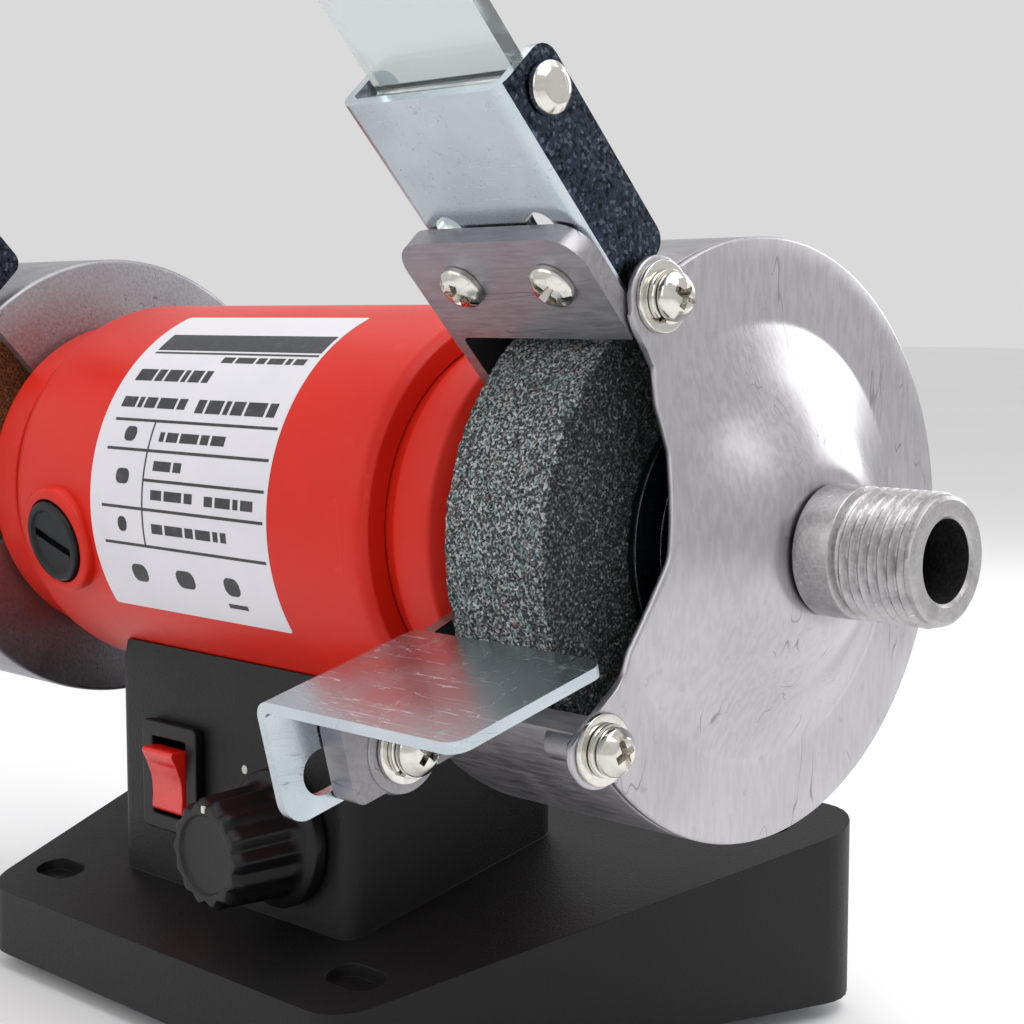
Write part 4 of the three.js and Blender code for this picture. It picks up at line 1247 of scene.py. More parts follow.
@dataclass
class GuardCasting:
    """The cast half of a guard: drum, plate, lug for the bracket and arm for the tool rest.

    skew keeps faces that would lie in one plane slightly apart, so that the joins stay clean.
    """

    side: Side
    hub: float = 14.0
    window: float = 27.6
    ease_width: float = 0.35
    boss: float = 2.6
    bolt_hole: float = 2.8
    skew: float = 0.04

    def build(self) -> None:
        """Joins the drum, plate, lug and arm, then opens the seats for the bracket and the bolt."""
        lay = LAYOUT
        end = lay.cover_face - lay.sheet - lay.gap
        inner = lay.radius - lay.wall
        drum = turned([
            (inner - 3, lay.inner_face), (lay.radius, lay.inner_face, 1.2), (lay.radius, end, 0.25),
            (inner, end, 0.25), (inner, lay.inner_face + lay.plate, 1.0),
            (inner - 3, lay.inner_face + lay.plate)],
            160, lay.opening_top, 360.0 + lay.opening_low)
        piece = stage_piece(f"guard_casting_{self.side.word}", drum)
        near, far = lay.inner_face + self.skew, lay.inner_face + lay.plate - self.skew
        low = turned([(self.window - 1, near), (lay.radius - self.skew, near, 0.8),
                      (lay.radius - self.skew, far, 0.3),
                      (self.window - 1, far)], 150, lay.opening_top + self.skew, 360.0 + lay.plate_low)
        near, far = near + self.skew, far - self.skew
        hub = turned([(self.hub, near, 0.3), (self.window, near, 0.3), (self.window, far, 0.3),
                      (self.hub, far, 0.3)], 128)
        lug = prism(rounded([
            (near, lay.lug_low), (end - self.skew, lay.lug_low), (end - self.skew, lay.lug_top, 5.0),
            (near, lay.lug_top, 5.0)], 8), -self.skew, lay.lug_depth, Plane.FRONT).moved(lay.lean())
        arm = prism(rounded([(-10, -5, 1.8), (16, -5), (16, 8.5), (-10, 8.5, 2.8)], 6), *lay.arm,
                    Plane.SIDE)
        bore = rod(inner, lay.arm[0] - 1, lay.arm[1] + 1, 160)
        arm_piece = stage_piece("arm", arm.moved(lay.rest()))
        combine(arm_piece, "DIFFERENCE", bore)
        arm_shell = self.shell_of(arm_piece)
        boss = turned([(0, lay.arm[1] - 1), (6.9, lay.arm[1] - 1), (6.6, lay.arm[1] + 0.25, 0.2),
                       (0, lay.arm[1] + 0.25)], 48).moved(lay.rest())
        combine(piece, "UNION", low, hub, lug, arm_shell, boss)
        for ear in lay.ears:
            place = ear.point(0)
            post = turned([(0, end - 7), (self.boss, end - 6.4, 0.3), (self.boss, end - 0.02),
                           (0, end - 0.02)], 32)
            combine(piece, "UNION", post.moved(Matrix.Translation(place)))
        passage = block((65.2, 95.9), (lay.lug_depth, lay.lug_depth + 2.6), (35, 47)).moved(lay.lean())
        bolt = rod(self.bolt_hole, 60, 80).moved(lay.rest())
        combine(piece, "DIFFERENCE", passage, bolt)
        ease(piece, self.ease_width, 2, 50.0)
        settle(piece, FINISH.cast_alloy, MACHINE, [f"guard_body_{self.side.word}"], self.side)

    def shell_of(self, piece: Piece) -> Shell:
        """Takes a helper object apart into a shell and removes it."""
        shell = Shell([v.co.copy() for v in piece.data.vertices],
                      [tuple(p.vertices) for p in piece.data.polygons])
        discard(piece)
        return shell


@dataclass
class GuardCover:
    """The pressed cover: a flat rim, a domed cone, two ears and the cut edge in front of the wheel.

    The sheet is drawn as sections through the motor axis, one for each direction.
    """

    side: Side
    fold: float = 31.2
    tip: float = 10.6
    rise: float = 10.9
    ear: float = 5.5
    edge: float = 0.38
    rings: int = 26
    directions: int = 576
    cut: Sequence[Corner] = (
        (-70, 75.1), (-24.2, 25.9, 4), (-22.8, 14, 6), (-24, 0, 8), (-29.8, -15.2, 3), (-70, -52))

    def height(self, radius: float) -> float:
        """How far the sheet stands out of the rim's plane at a radius: flat, then a smooth swell."""
        stops = [(self.fold + 0.45, 0.0, 0.0), (self.fold - 0.45, 0.16, -0.4), (24.0, 2.95, -0.5),
                 (15.0, 8.95, -0.62), (self.tip + 0.9, self.rise - 0.18, -0.3),
                 (self.tip, self.rise, 0.0)]
        if radius >= stops[0][0]:
            return 0.0
        for (r0, h0, s0), (r1, h1, s1) in zip(stops, stops[1:]):
            if radius >= r1:
                length = r1 - r0
                t = (radius - r0) / length
                return (h0 * (1 + 2 * t) * (1 - t) ** 2 + s0 * length * t * (1 - t) ** 2
                        + h1 * t * t * (3 - 2 * t) + s1 * length * t * t * (t - 1))
        return self.rise

    def reach(self, angle: float, notch: Outline) -> float:
        """How far the sheet reaches in a direction, in degrees above the front."""
        ray = Vector((-math.cos(math.radians(angle)), math.sin(math.radians(angle))))
        far = LAYOUT.radius
        for i, point in enumerate(notch):
            start, stop = Vector(notch[i - 1]), Vector(point)
            along = stop - start
            across = ray.x * along.y - ray.y * along.x
            if abs(across) < 1e-9:
                continue
            distance = (start.x * along.y - start.y * along.x) / across
            share = (start.x * ray.y - start.y * ray.x) / across
            if distance > 0 and 0 <= share <= 1:
                far = min(far, distance)
        for ear in LAYOUT.ears:
            offset = math.radians(angle - ear.angle)
            aside = ear.radius * math.sin(offset)
            if abs(aside) < self.ear and math.cos(offset) > 0:
                chord = math.sqrt(self.ear ** 2 - aside ** 2)
                if ear.radius * math.cos(offset) - chord < far + 1.2:
                    far = max(far, ear.radius * math.cos(offset) + chord)
        return far

    def section(self, angle: float, far: float, bore: float) -> list[Vector]:
        """The closed section of the sheet in one direction.

        Args:
            angle: The direction, in degrees above the front.
            far: How far the sheet reaches there.
            bore: The radius of its middle hole.

        Returns:
            The section's points, along the outside and back along the inside.
        """
        face = LAYOUT.cover_face
        last = far - self.edge
        knee = min(self.fold + 0.8, last - 0.4)
        start = knee - 1.6
        radii = [bore + (start - bore) * k / self.rings for k in range(self.rings + 1)]
        radii += [start + (knee - start) * k / 7 for k in range(1, 8)]
        radii += [knee + (last - knee) * k / 4 for k in range(1, 5)]
        outer = [round_at(r, angle, face + self.height(r)) for r in radii]
        under = [round_at(r, angle, face + self.height(r) - LAYOUT.sheet) for r in reversed(radii)]
        drop = self.height(far)
        bend = []
        for k in (1, 2, 3):
            turn = math.radians(30 * k)
            bend.append((last + self.edge * math.sin(turn),
                         face + drop - self.edge * (1 - math.cos(turn))))
        top = [round_at(r, angle, x) for r, x in bend]
        base = [round_at(r, angle, 2 * (face + drop) - LAYOUT.sheet - x) for r, x in reversed(bend)]
        return [*outer, *top, *base, *under]

    def build(self) -> None:
        """Samples the directions, evens out the jumps in reach and lofts the sections."""
        bore = 7.2 if self.side is Side.RIGHT else 0.0
        notch = rounded(self.cut, 8)
        count = self.directions
        angles = [360.0 * k / count for k in range(count)]
        reaches = [self.reach(a if a < 180 else a - 360, notch) for a in angles]
        soft = []
        for k in range(count):
            near = [reaches[(k + d) % count] for d in (-1, 0, 1)]
            soft.append((near[0] + 2 * near[1] + near[2]) / 4)
        sections = [self.section(a, far, bore) for a, far in zip(angles, soft)]
        piece = stage_piece(f"pressed_cover_{self.side.word}", lofted(sections, ring=True))
        settle(piece, FINISH.pressed_alloy, MACHINE, [f"guard_cover_{self.side.word}"], self.side, 40.0)


@dataclass
class DriveOutlet:
    """The threaded outlet for a flexible shaft, with the shaft's square socket inside."""

    bore: float = 5.6
    neck: float = 6.9
    pitch: float = 1.5
    depth: float = 0.8
    plain: float = 6.4
    shoulder: float = 3.6
    row: float = 0.14

    def build(self, wave: WaveRecipe) -> None:
        """Turns the outlet on a fine grid and cuts its thread."""
        low, high = span("drive_outlet")
        radius = high.z
        seat = low.x + self.shoulder
        start, end = seat + self.plain, high.x - 1.3
        root = radius - self.depth
        rows = round((end - start) / self.row)
        profile: list[Corner] = [
            (self.bore, low.x), (8.6, low.x, 0.3), (8.6, seat - 1.8, 0.3), (self.neck, seat - 1.8),
            (self.neck, seat),
            (radius, seat, 0.5), (radius, start - 0.5, 0.3), (root, start - 0.1)]
        profile += [(root, start + (end - start) * k / rows) for k in range(1, rows + 1)]
        profile += [(root + 0.25, end + 0.2), (root + 0.25, high.x - 0.35, 0.15),
                    (root - 0.3, high.x, 0.15),
                    (self.bore + 0.5, high.x, 0.15), (self.bore, high.x - 0.5, 0.2)]
        piece = stage_piece("threaded_outlet", turned(profile, 144))
        piece.data.shade_smooth()
        wave.run(piece, FINISH.turned_steel, Pitch_Turns=1.0 / self.pitch, Rounds=1.0,
                 Depth=self.depth - 0.08,
                 Start=start, End=end + 0.6, Fade=0.9, Inner=root - 0.2)
        settle(piece, FINISH.turned_steel, MACHINE, ["drive_outlet"], crease=38.0)
        # Faces inside the bore take the dark finish: painted shade in the hole.
        piece.data.materials.append(FINISH.drilled_steel.material())
        limit = (self.bore + 0.1) * MM
        for face in piece.data.polygons:
            across = face.center - ORIGIN
            face.material_index = int(math.hypot(across.y, across.z) < limit)


# ---------------------------------------------------------------- bracket, shield and rest


@dataclass
class ShieldBracket:
    """The folded bracket behind the lug, the clear eye shield in it and the pin between them."""

    side: Side
    x: Pair = (65.5, 95.6)
    low: float = 43.5
    top: float = 78.0
    flange: float = 11.0
    sheet: float = 1.5
    bend: float = 2.4
    pivot: float = 73.0
    hinge_depth: float = 6.5
    slot_half: float = 2.4
    slot_corner: float = 2.39
    pane: float = 34.0
    pane_half: float = 1.2

    @property
    def back(self) -> float:
        """The front face of the bracket, behind the lug."""
        return LAYOUT.lug_depth + LAYOUT.gap

    @property
    def mean(self) -> float:
        """The bend radius of the sheet's middle layer."""
        return self.bend - self.sheet / 2

    @property
    def web(self) -> float:
        """Half the flat width between the two bends."""
        return (self.x[1] - self.x[0]) / 2 - self.bend

    def fold(self, s: float, t: float) -> Vector:
        """Folds the flat blank: a middle web and a flange bent back at each end."""
        mean, web = self.mean, self.web
        centre = (self.x[0] + self.x[1]) / 2
        hand = math.copysign(1.0, s)
        away = abs(s)
        arc = mean * math.pi / 2
        if away <= web:
            point = Vector((centre + s, self.back + self.sheet / 2, t))
        elif away <= web + arc:
            angle = (away - web) / mean
            point = Vector((centre + hand * (web + mean * math.sin(angle)),
                            self.back + self.bend - mean * math.cos(angle), t))
        else:
            point = Vector((centre + hand * (web + mean), self.back + self.bend + away - web - arc, t))
        return LAYOUT.lean() @ point

    def build(self) -> None:
        """Cuts and folds the bracket, then makes the shield and the pin."""
        body = f"shield_bracket_{self.side.word}"
        mean, web = self.mean, self.web
        reach = web + mean * math.pi / 2 + self.flange - self.bend
        creases = [h * (web + mean * math.pi / 2 * k / 6) for h in (-1, 1) for k in range(7)]
        outline = rounded([
            (-reach, self.low + 0.5, 2.5), (-web - 0.6, self.low, 0.8), (web + 0.6, self.low, 0.8),
            (reach, self.low + 0.5, 2.5),
            (reach, self.top, 3.0), (-reach, self.top, 3.0)])
        middle = (self.x[0] + self.x[1]) / 2
        r = LAYOUT.lug_screw_radius
        holes = []
        for s in (x - middle for x in LAYOUT.lug_screws):
            holes.append(panel((s - self.slot_half, r - 4.2), (s + self.slot_half, r + 9.3),
                               self.slot_corner, 8))
        sheet = BentSheet(self.sheet, self.fold, creases)
        piece = sheet.cut(f"zinc_bracket_{self.side.word}", outline, holes)
        settle(piece, FINISH.zinc_plate, body, [body], self.side)
        # The outward faces of the bent flanges take the dark zinc finish: a painted dark reflection.
        piece.data.materials.append(FINISH.dark_zinc.material())
        divide = ORIGIN.x + self.side.value * middle * MM
        for face in piece.data.polygons:
            outward = face.normal.x * (1 if face.center.x > divide else -1)
            face.material_index = int(outward > 0.9)
        self.build_shield()
        self.build_pin(body)

    def build_shield(self) -> None:
        """Makes the clear pane with rounded corners and its hinge barrel."""
        y = self.back + self.hinge_depth
        x0, x1 = self.x[0] + self.sheet + 0.5, self.x[1] - self.sheet - 0.5
        low, top = self.pivot + 1.5, self.pivot + self.pane
        pane = prism(rounded([(x0, low), (x1, low), (x1, top, 6), (x0, top, 6)], 8),
                     y - self.pane_half, y + self.pane_half, Plane.FRONT)
        piece = stage_piece(f"clear_shield_{self.side.word}", pane.moved(LAYOUT.lean()))
        carry = LAYOUT.lean() @ shift(0, y, self.pivot)
        barrel = turned([(0, x0), (3.6, x0, 0.4), (3.6, x1, 0.4), (0, x1)], 40)
        hole = rod(2.0, x0 - 1, x1 + 1)
        combine(piece, "UNION", barrel.moved(carry))
        combine(piece, "DIFFERENCE", hole.moved(carry))
        ease(piece, 0.3, 2, 50.0)
        node = f"eye_shield_{self.side.word}"
        settle(piece, FINISH.clear_sheet, node, [node], self.side)

    def build_pin(self, body: str) -> None:
        """Turns the pin with a domed head at each end."""
        x0, x1 = self.x[0] - LAYOUT.gap, self.x[1] + LAYOUT.gap
        pin = turned([
            (0, x0 - 2.0), (2.2, x0 - 1.9, 0.8), (3.4, x0 - 1.0, 0.5), (3.4, x0, 0.15), (1.7, x0),
            (1.7, x1),
            (3.4, x1, 0.15), (3.4, x1 + 1.0, 0.5), (2.2, x1 + 1.9, 0.8), (0, x1 + 2.0)], 40)
        carry = LAYOUT.lean() @ shift(0, self.back + self.hinge_depth, self.pivot)
        piece = stage_piece(f"shield_hinge_pin_{self.side.word}", pin.moved(carry))
        settle(piece, FINISH.nickel, body, [f"shield_pin_{self.side.word}"], self.side)


@dataclass
class ToolRest:
    """The folded tool rest with its slotted flange, and the plain washer beside it."""

    side: Side
    x: Pair = (64.5, 102.8)
    front: float = -18.0
    back: float = 9.2
    flange_back: float = 6.6
    top: float = 13.2
    low: float = -5.4
    sheet: float = 1.6
    bend: float = 2.7
    slot: Pair = (-10.9, 1.6)
    slot_half: float = 3.2

    @property
    def mean(self) -> float:
        """The bend radius of the sheet's middle layer."""
        return self.bend - self.sheet / 2

    @property
    def flat(self) -> float:
        """The flat width of the top, from its free edge to the bend."""
        return self.x[1] - self.x[0] - self.bend

    @property
    def arc(self) -> float:
        """The length of the bend along the sheet's middle layer."""
        return self.mean * math.pi / 2

    def fold(self, s: float, t: float) -> Vector:
        """Folds the flat blank: s runs from the top's free edge over the bend and down."""
        mean, flat, arc = self.mean, self.flat, self.arc
        corner = Vector((self.x[0] + self.bend, 0, self.top - self.bend))
        if s <= flat:
            point = Vector((self.x[1] - s, t, self.top - self.sheet / 2))
        elif s <= flat + arc:
            angle = (s - flat) / mean
            point = Vector((corner.x - mean * math.sin(angle), t, corner.z + mean * math.cos(angle)))
        else:
            point = Vector((self.x[0] + self.sheet / 2, t, corner.z - (s - flat - arc)))
        return LAYOUT.rest() @ point

    def build(self) -> None:
        """Cuts, folds and finishes the rest, and turns the washer."""
        flat, arc = self.flat, self.arc
        level = flat + arc + (self.top - self.bend)
        end = level - self.low
        outline = rounded([
            (0, self.front, 2.6), (end, self.front, 3.6), (end, self.flange_back, 3.0),
            (flat + arc + 1.2, self.flange_back, 0.8), (flat, self.back, 0.8), (0, self.back, 2.6)], 8)
        half = self.slot_half
        slot = panel((level - half, self.slot[0] - half), (level + half, self.slot[1] + half),
                     half - 0.01, 10)
        creases = [flat + arc * k / 8 for k in range(9)]
        blank = BentSheet(self.sheet, self.fold, creases, 0.5)
        piece = blank.cut(f"folded_rest_{self.side.word}", outline, [slot])
        node = f"tool_rest_{self.side.word}"
        settle(piece, FINISH.zinc_plate, node, [node], self.side)
        edge = self.x[0] - LAYOUT.gap
        washer = turned([(2.7, edge - 1.2, 0.1), (5.6, edge - 1.2, 0.25), (5.6, edge, 0.25),
                         (2.7, edge, 0.1)], 48)
        ring = stage_piece(f"rest_spacer_{self.side.word}", washer.moved(LAYOUT.rest()))
        settle(ring, FINISH.nickel, f"rest_clamp_{self.side.word}", [f"rest_washer_{self.side.word}"],
               self.side)


# ---------------------------------------------------------------- fasteners


@dataclass
class PanScrew:
    """A pan head screw drawn along +X from its seat, with the washers under its head.

    head and height size the head; flat is the flat washer's radius, or 0 for none.
    """

    head: float
    height: float
    shank: float
    length: float
    flat: float = 0.0
    flat_height: float = 0.85
    spring_height: float = 1.15
    slot_half: float = 0.42
    cross_half: float = 0.62
    cross_taper: float = 0.45

    def pattern(self, name: str) -> Piece:
        """Makes the screw at the origin.

        Returns:
            The pattern piece, with its head, recess, washers and shank as closed solids.
        """
        seat = 0.05
        shells = []
        if self.flat:
            hole, top = self.shank + 0.2, seat + self.flat_height
            shells.append(turned([
                (hole, seat, 0.05), (self.flat, seat, 0.2), (self.flat, top, 0.25), (hole, top, 0.05)],
                48))
            seat += self.flat_height + 0.05
            shells.append(self.spring(seat))
            seat += self.spring_height
        head = turned([
            (0, seat), (self.head, seat, 0.15),
            (self.head, seat + self.height * 0.42, self.height * 0.3),
            (self.head * 0.62, seat + self.height * 0.94, self.head * 0.45), (0, seat + self.height)],
            56)
        piece = stage_piece(name, head)
        top = seat + self.height
        reach = self.head * 0.6
        slot = block((top - self.height * 0.42, top + 1), (-self.slot_half, self.slot_half),
                     (-self.head - 1, self.head + 1))
        combine(piece, "DIFFERENCE", slot)
        corners = ((-1, -1), (1, -1), (1, 1), (-1, 1))
        for y, z in ((reach, self.cross_half), (self.cross_half, reach)):
            wide = lofted([
                [Vector((top + 0.3, sy * y, sz * z)) for sy, sz in corners],
                [Vector((top - self.height * 0.8, sy * y * self.cross_taper, sz * z * self.cross_taper))
                 for sy, sz in corners]])
            combine(piece, "DIFFERENCE", wide)
        ease(piece, 0.08, 1, 45.0)
        body = turned([(0, -self.length), (self.shank - 0.3, -self.length, 0.1),
                       (self.shank, -self.length + 0.5),
                       (self.shank, seat - 0.02), (0, seat - 0.02)], 24)
        rest = stage_piece("rest", body, *shells)
        smooth(rest, SCREW_CREASE)
        self.join(piece, rest)
        return piece

    def spring(self, seat: float) -> Shell:
        """The split spring washer: a square wire bent into one open turn."""
        inner, outer = self.shank + 0.3, self.head + 0.35
        loops = []
        steps = 46
        for k in range(steps + 1):
            angle = 12.0 + 340.0 * k / steps
            lift = 0.12 * (k / steps - 0.5)
            outline = rounded([(inner, seat + 0.05, 0.1), (outer, seat + 0.05, 0.2),
                               (outer, seat + 1.0, 0.2),
                               (inner, seat + 1.0, 0.1)], 2)
            loops.append([round_at(r, angle, x + lift) for r, x in outline])
        return lofted(loops)

    def join(self, piece: Piece, other: Piece) -> None:
        """Adds another object's faces to a piece without cutting them, and removes the other."""
        build = bmesh.new()
        build.from_mesh(piece.data)
        build.from_mesh(other.data)
        piece.data = mesh_from(build, piece.name)
        discard(other)


def hexagon(across: float, low: float, high: float) -> Shell:
    """A hexagonal nut along X with chamfered corners.

    Args:
        across: The radius to its corners.
        low: Its start along X.
        high: Its end along X.

    Returns:
        The nut as a closed shell.
    """
    loops = []
    for x, share in ((low, 0.93), (low + 0.35, 1.0), (high - 0.35, 1.0), (high, 0.93)):
        loops.append([round_at(across * share, 60.0 * k, x) for k in range(6)])
    return lofted(loops)


@dataclass
class Fasteners:
    """All screws, bolts and nuts that stay with the machine, set by one tree."""

    cover: PanScrew = field(default_factory=lambda: PanScrew(3.3, 2.4, 1.5, 4.5, 4.9))
    lug: PanScrew = field(default_factory=lambda: PanScrew(3.4, 2.2, 1.9, 10.6))
    bolt: PanScrew = field(default_factory=lambda: PanScrew(3.8, 2.6, 2.4, 17.0, 5.2))

    def build(self, setter: SetRecipe) -> None:
        """Sets the cover screws, the bracket screws with their nuts, and the rest bolts."""
        self.cover_screws(setter)
        self.lug_screws(setter)
        self.rest_bolts(setter)

    def finish_set(self, piece: Piece, pattern: Piece, nodes: Sequence[str]) -> None:
        """Removes the pattern piece and settles the set."""
        discard(pattern)
        settle(piece, FINISH.nickel, MACHINE, nodes, crease=SCREW_CREASE)

    def cover_screws(self, setter: SetRecipe) -> None:
        """Two screws with spring and flat washers on each cover, their slots turned at random."""
        pattern = self.cover.pattern("cover_screw")
        spots = []
        for side, twists in ((Side.RIGHT, (62.0, 205.0)), (Side.LEFT, (140.0, 80.0))):
            for ear, twist in zip(LAYOUT.ears, twists):
                place = ear.point(LAYOUT.cover_face)
                place.x *= side.value
                heading = 0.0 if side is Side.RIGHT else math.pi
                spots.append((place, Euler((math.radians(twist), 0.0, heading))))
        piece = setter.place("cover_screws", pattern, spots, FINISH.nickel)
        nodes = [f"cover_screw_{where}_{side.word}" for side in Side for where in ("upper", "lower")]
        self.finish_set(piece, pattern, nodes)

    def lug_screws(self, setter: SetRecipe) -> None:
        """Two dome screws through each lug, with washer and nut behind the bracket."""
        pattern = self.lug.pattern("lug_screw")
        behind = -(LAYOUT.lug_depth + LAYOUT.gap + ShieldBracket.sheet + LAYOUT.gap)
        washer = turned([(2.0, behind - 0.9, 0.1), (4.3, behind - 0.9, 0.2), (4.3, behind, 0.2),
                         (2.0, behind, 0.1)], 40)
        back = stage_piece("back", washer, hexagon(4.1, behind - 4.1, behind - 0.95))
        smooth(back, SCREW_CREASE)
        self.lug.join(pattern, back)
        lean = LAYOUT.lean().to_3x3()
        spots = []
        for side in Side:
            for x, twist in zip(LAYOUT.lug_screws, (70.0, 35.0)):
                place = lean @ Vector((x, 0.0, LAYOUT.lug_screw_radius))
                place.x *= side.value
                aim = lean @ spin(-90.0, "Z").to_3x3() @ spin(twist, "X").to_3x3()
                spots.append((place, aim.to_euler()))
        piece = setter.place("bracket_screws", pattern, spots, FINISH.nickel)
        nodes = [f"bracket_screw_{where}_{side.word}" for side in Side for where in ("inner", "outer")]
        self.finish_set(piece, pattern, nodes)

    def rest_bolts(self, setter: SetRecipe) -> None:
        """One bolt through each arm and rest, with its nut outside the flange."""
        pattern = self.bolt.pattern("rest_bolt_head")
        face = LAYOUT.arm[1] + LAYOUT.gap
        nut = ToolRest.x[0] - 2 * LAYOUT.gap - 1.2 - face
        back = stage_piece("back", hexagon(4.9, nut - 4.0, nut))
        smooth(back, SCREW_CREASE)
        self.bolt.join(pattern, back)
        spots = []
        for side in Side:
            place = Vector((face * side.value, LAYOUT.bolt_y, LAYOUT.bolt_z))
            heading = 0.0 if side is Side.RIGHT else math.pi
            spots.append((place, Euler((math.radians(LAYOUT.tilt + 40.0), 0.0, heading))))
        piece = setter.place("rest_bolts", pattern, spots, FINISH.nickel)
        self.finish_set(piece, pattern, [f"rest_bolt_{side.word}" for side in Side])


# ---------------------------------------------------------------- base


@dataclass
class Base:
    """The black base: a column that cradles the motor, a sloping foot, feet and the cable gland."""

    column: float = 32.5
    front: float = -22.0
    back: float = 26.0
    bottom: float = -84.0
    slope: float = 0.2
    top_at_zero: float = -64.2
    saddle: float = 34.1
    wall: float = 2.6
    parting: float = 4.4
    groove_height: float = 0.9
    plan: Outline = ((-82, 56), (-50, -40), (50, -40), (82, 56))

    def outline(self, inset: float, corner: float) -> list[Pair]:
        """The foot seen from above, drawn in by an inset."""
        corners = [(x - math.copysign(inset, x), y - math.copysign(inset, y), corner) for x,
                   y in self.plan]
        return rounded(corners, 8)

    def foot(self, inset: float, low: float, drop: float) -> Shell:
        """The wedge of the foot, its top following the slope."""
        loops = []
        shape = self.outline(inset, 9.0 - inset)
        for share in (0, 1):
            loop = []
            for x, y in shape:
                top = self.top_at_zero + self.slope * y - drop
                loop.append(Vector((x, y, low if share == 0 else top)))
            loops.append(loop)
        return lofted(loops)

    def build(self, setter: SetRecipe) -> None:
        """Builds the shell, the feet and the gland."""
        self.build_shell()
        self.build_feet(setter)
        self.build_gland()

    def build_shell(self) -> None:
        """Joins column and foot, then cuts the saddle, the groove, the pockets and the openings."""
        piece = stage_piece("base_moulding", self.foot(0.0, self.bottom, 0.0))
        loops = []
        for level, inset in ((self.bottom + 4, 0.0), (-30.0, 0.0), (-20.0, 3.0)):
            half = self.column - inset
            shape = panel((-half, self.front), (half, self.back), 3.5, 6)
            loops.append([Vector((x, y, level)) for x, y in shape])
        column = lofted(loops)
        combine(piece, "UNION", column)
        cradle = rod(self.saddle, -60, 60, 144)
        roof = block((-40, 40), (-30, 34), (-21.5, -10))
        combine(piece, "DIFFERENCE", cradle, roof)
        inner = self.foot(self.wall, self.bottom - 1, self.wall)
        hollow = block((-29.8, 29.8), (self.front + self.wall, self.back - self.wall),
                       (self.bottom - 1, -38))
        combine(piece, "DIFFERENCE", inner, hollow)
        switch = block((-20.2, -7.8), (self.front - 1, self.front + 4), (-57, -41))
        knob = rod(3.8, self.front - 1, self.front + 4, 40)
        quarter = spin(90.0, "Z")
        gland = rod(4.6, 50, 60, 40).moved(shift(0, 0, -66) @ quarter)
        combine(piece, "DIFFERENCE", switch,
                knob.moved(shift(Controls.knob_x, 0, Controls.knob_z) @ quarter),
                gland)
        groove = self.groove()
        combine(piece, "DIFFERENCE", groove, *self.pockets())
        ease(piece, 0.7, 3, 48.0)
        settle(piece, FINISH.black_abs, MACHINE, ["base_shell"])

    def groove(self) -> Shell:
        """The shadow line round the foot's side, as a ring that is cut out."""
        loops = []
        outside, inside = self.outline(-1.0, 10.0), self.outline(0.8, 8.2)
        for inner_point, outer_point in zip(inside, outside):
            high = self.top_at_zero + self.slope * inner_point[1] - self.parting
            low = high - self.groove_height
            loops.append([Vector((*inner_point, low)), Vector((*outer_point, low)),
                          Vector((*outer_point, high)), Vector((*inner_point, high))])
        return lofted(loops, ring=True)

    def pockets(self) -> list[Shell]:
        """Shallow seats for the fixing screws in the foot's top, one near each corner."""
        seats = []
        for x, y in ((-42, -29), (42, -29), (-64, 44), (64, 44)):
            level = self.top_at_zero + self.slope * y
            shape = panel((x - 5.5, y - 3.2), (x + 5.5, y + 3.2), 3.1, 6)
            seats.append(prism(shape, level - 1.6, level + 6, Plane.TOP))
        return seats

    def build_feet(self, setter: SetRecipe) -> None:
        """Sets four rubber feet by their packed places."""
        height = 2.7
        foot = turned([(0, 0), (7.4, 0, 0.5), (8.0, 0.7, 0.3), (7.7, height, 0.3), (0, height)], 56)
        pattern = stage_piece("rubber_foot", foot.moved(spin(-90.0, "Y")))
        nodes = [f"rubber_foot_{end}_{side}" for end in ("front", "rear") for side in ("left", "right")]
        spots = []
        for node in nodes:
            low, high = span(node)
            spots.append((Vector(((low.x + high.x) / 2, (low.y + high.y) / 2, low.z)),
                          Euler((0, 0, 0))))
        piece = setter.place("rubber_feet", pattern, spots, FINISH.rubber)
        discard(pattern)
        settle(piece, FINISH.rubber, MACHINE, nodes)

    def build_gland(self) -> None:
        """Turns the cable gland with soft ribs on its sleeve."""
        low, high = span("cable_gland")
        wall = 56.3
        profile: list[Corner] = [(3.2, low.y), (4.3, low.y), (4.3, wall), (7, wall, 0.4),
                                 (7, wall + 2, 0.5)]
        ribs = 4
        for k in range(ribs):
            at = wall + 2.4 + k * 1.5
            wide = 5.9 - 0.3 * k
            profile += [(wide - 0.8, at), (wide, at + 0.4, 0.2), (wide, at + 0.9, 0.2),
                        (wide - 0.9, at + 1.3)]
        profile += [(4.6, high.y - 0.4, 0.2), (3.9, high.y, 0.2), (3.2, high.y, 0.2)]
        carry = shift(0, 0, (low.z + high.z) / 2) @ spin(90.0, "Z")
        piece = stage_piece("cable_sleeve", turned(profile, 64).moved(carry))
        settle(piece, FINISH.rubber, MACHINE, ["cable_gland"])


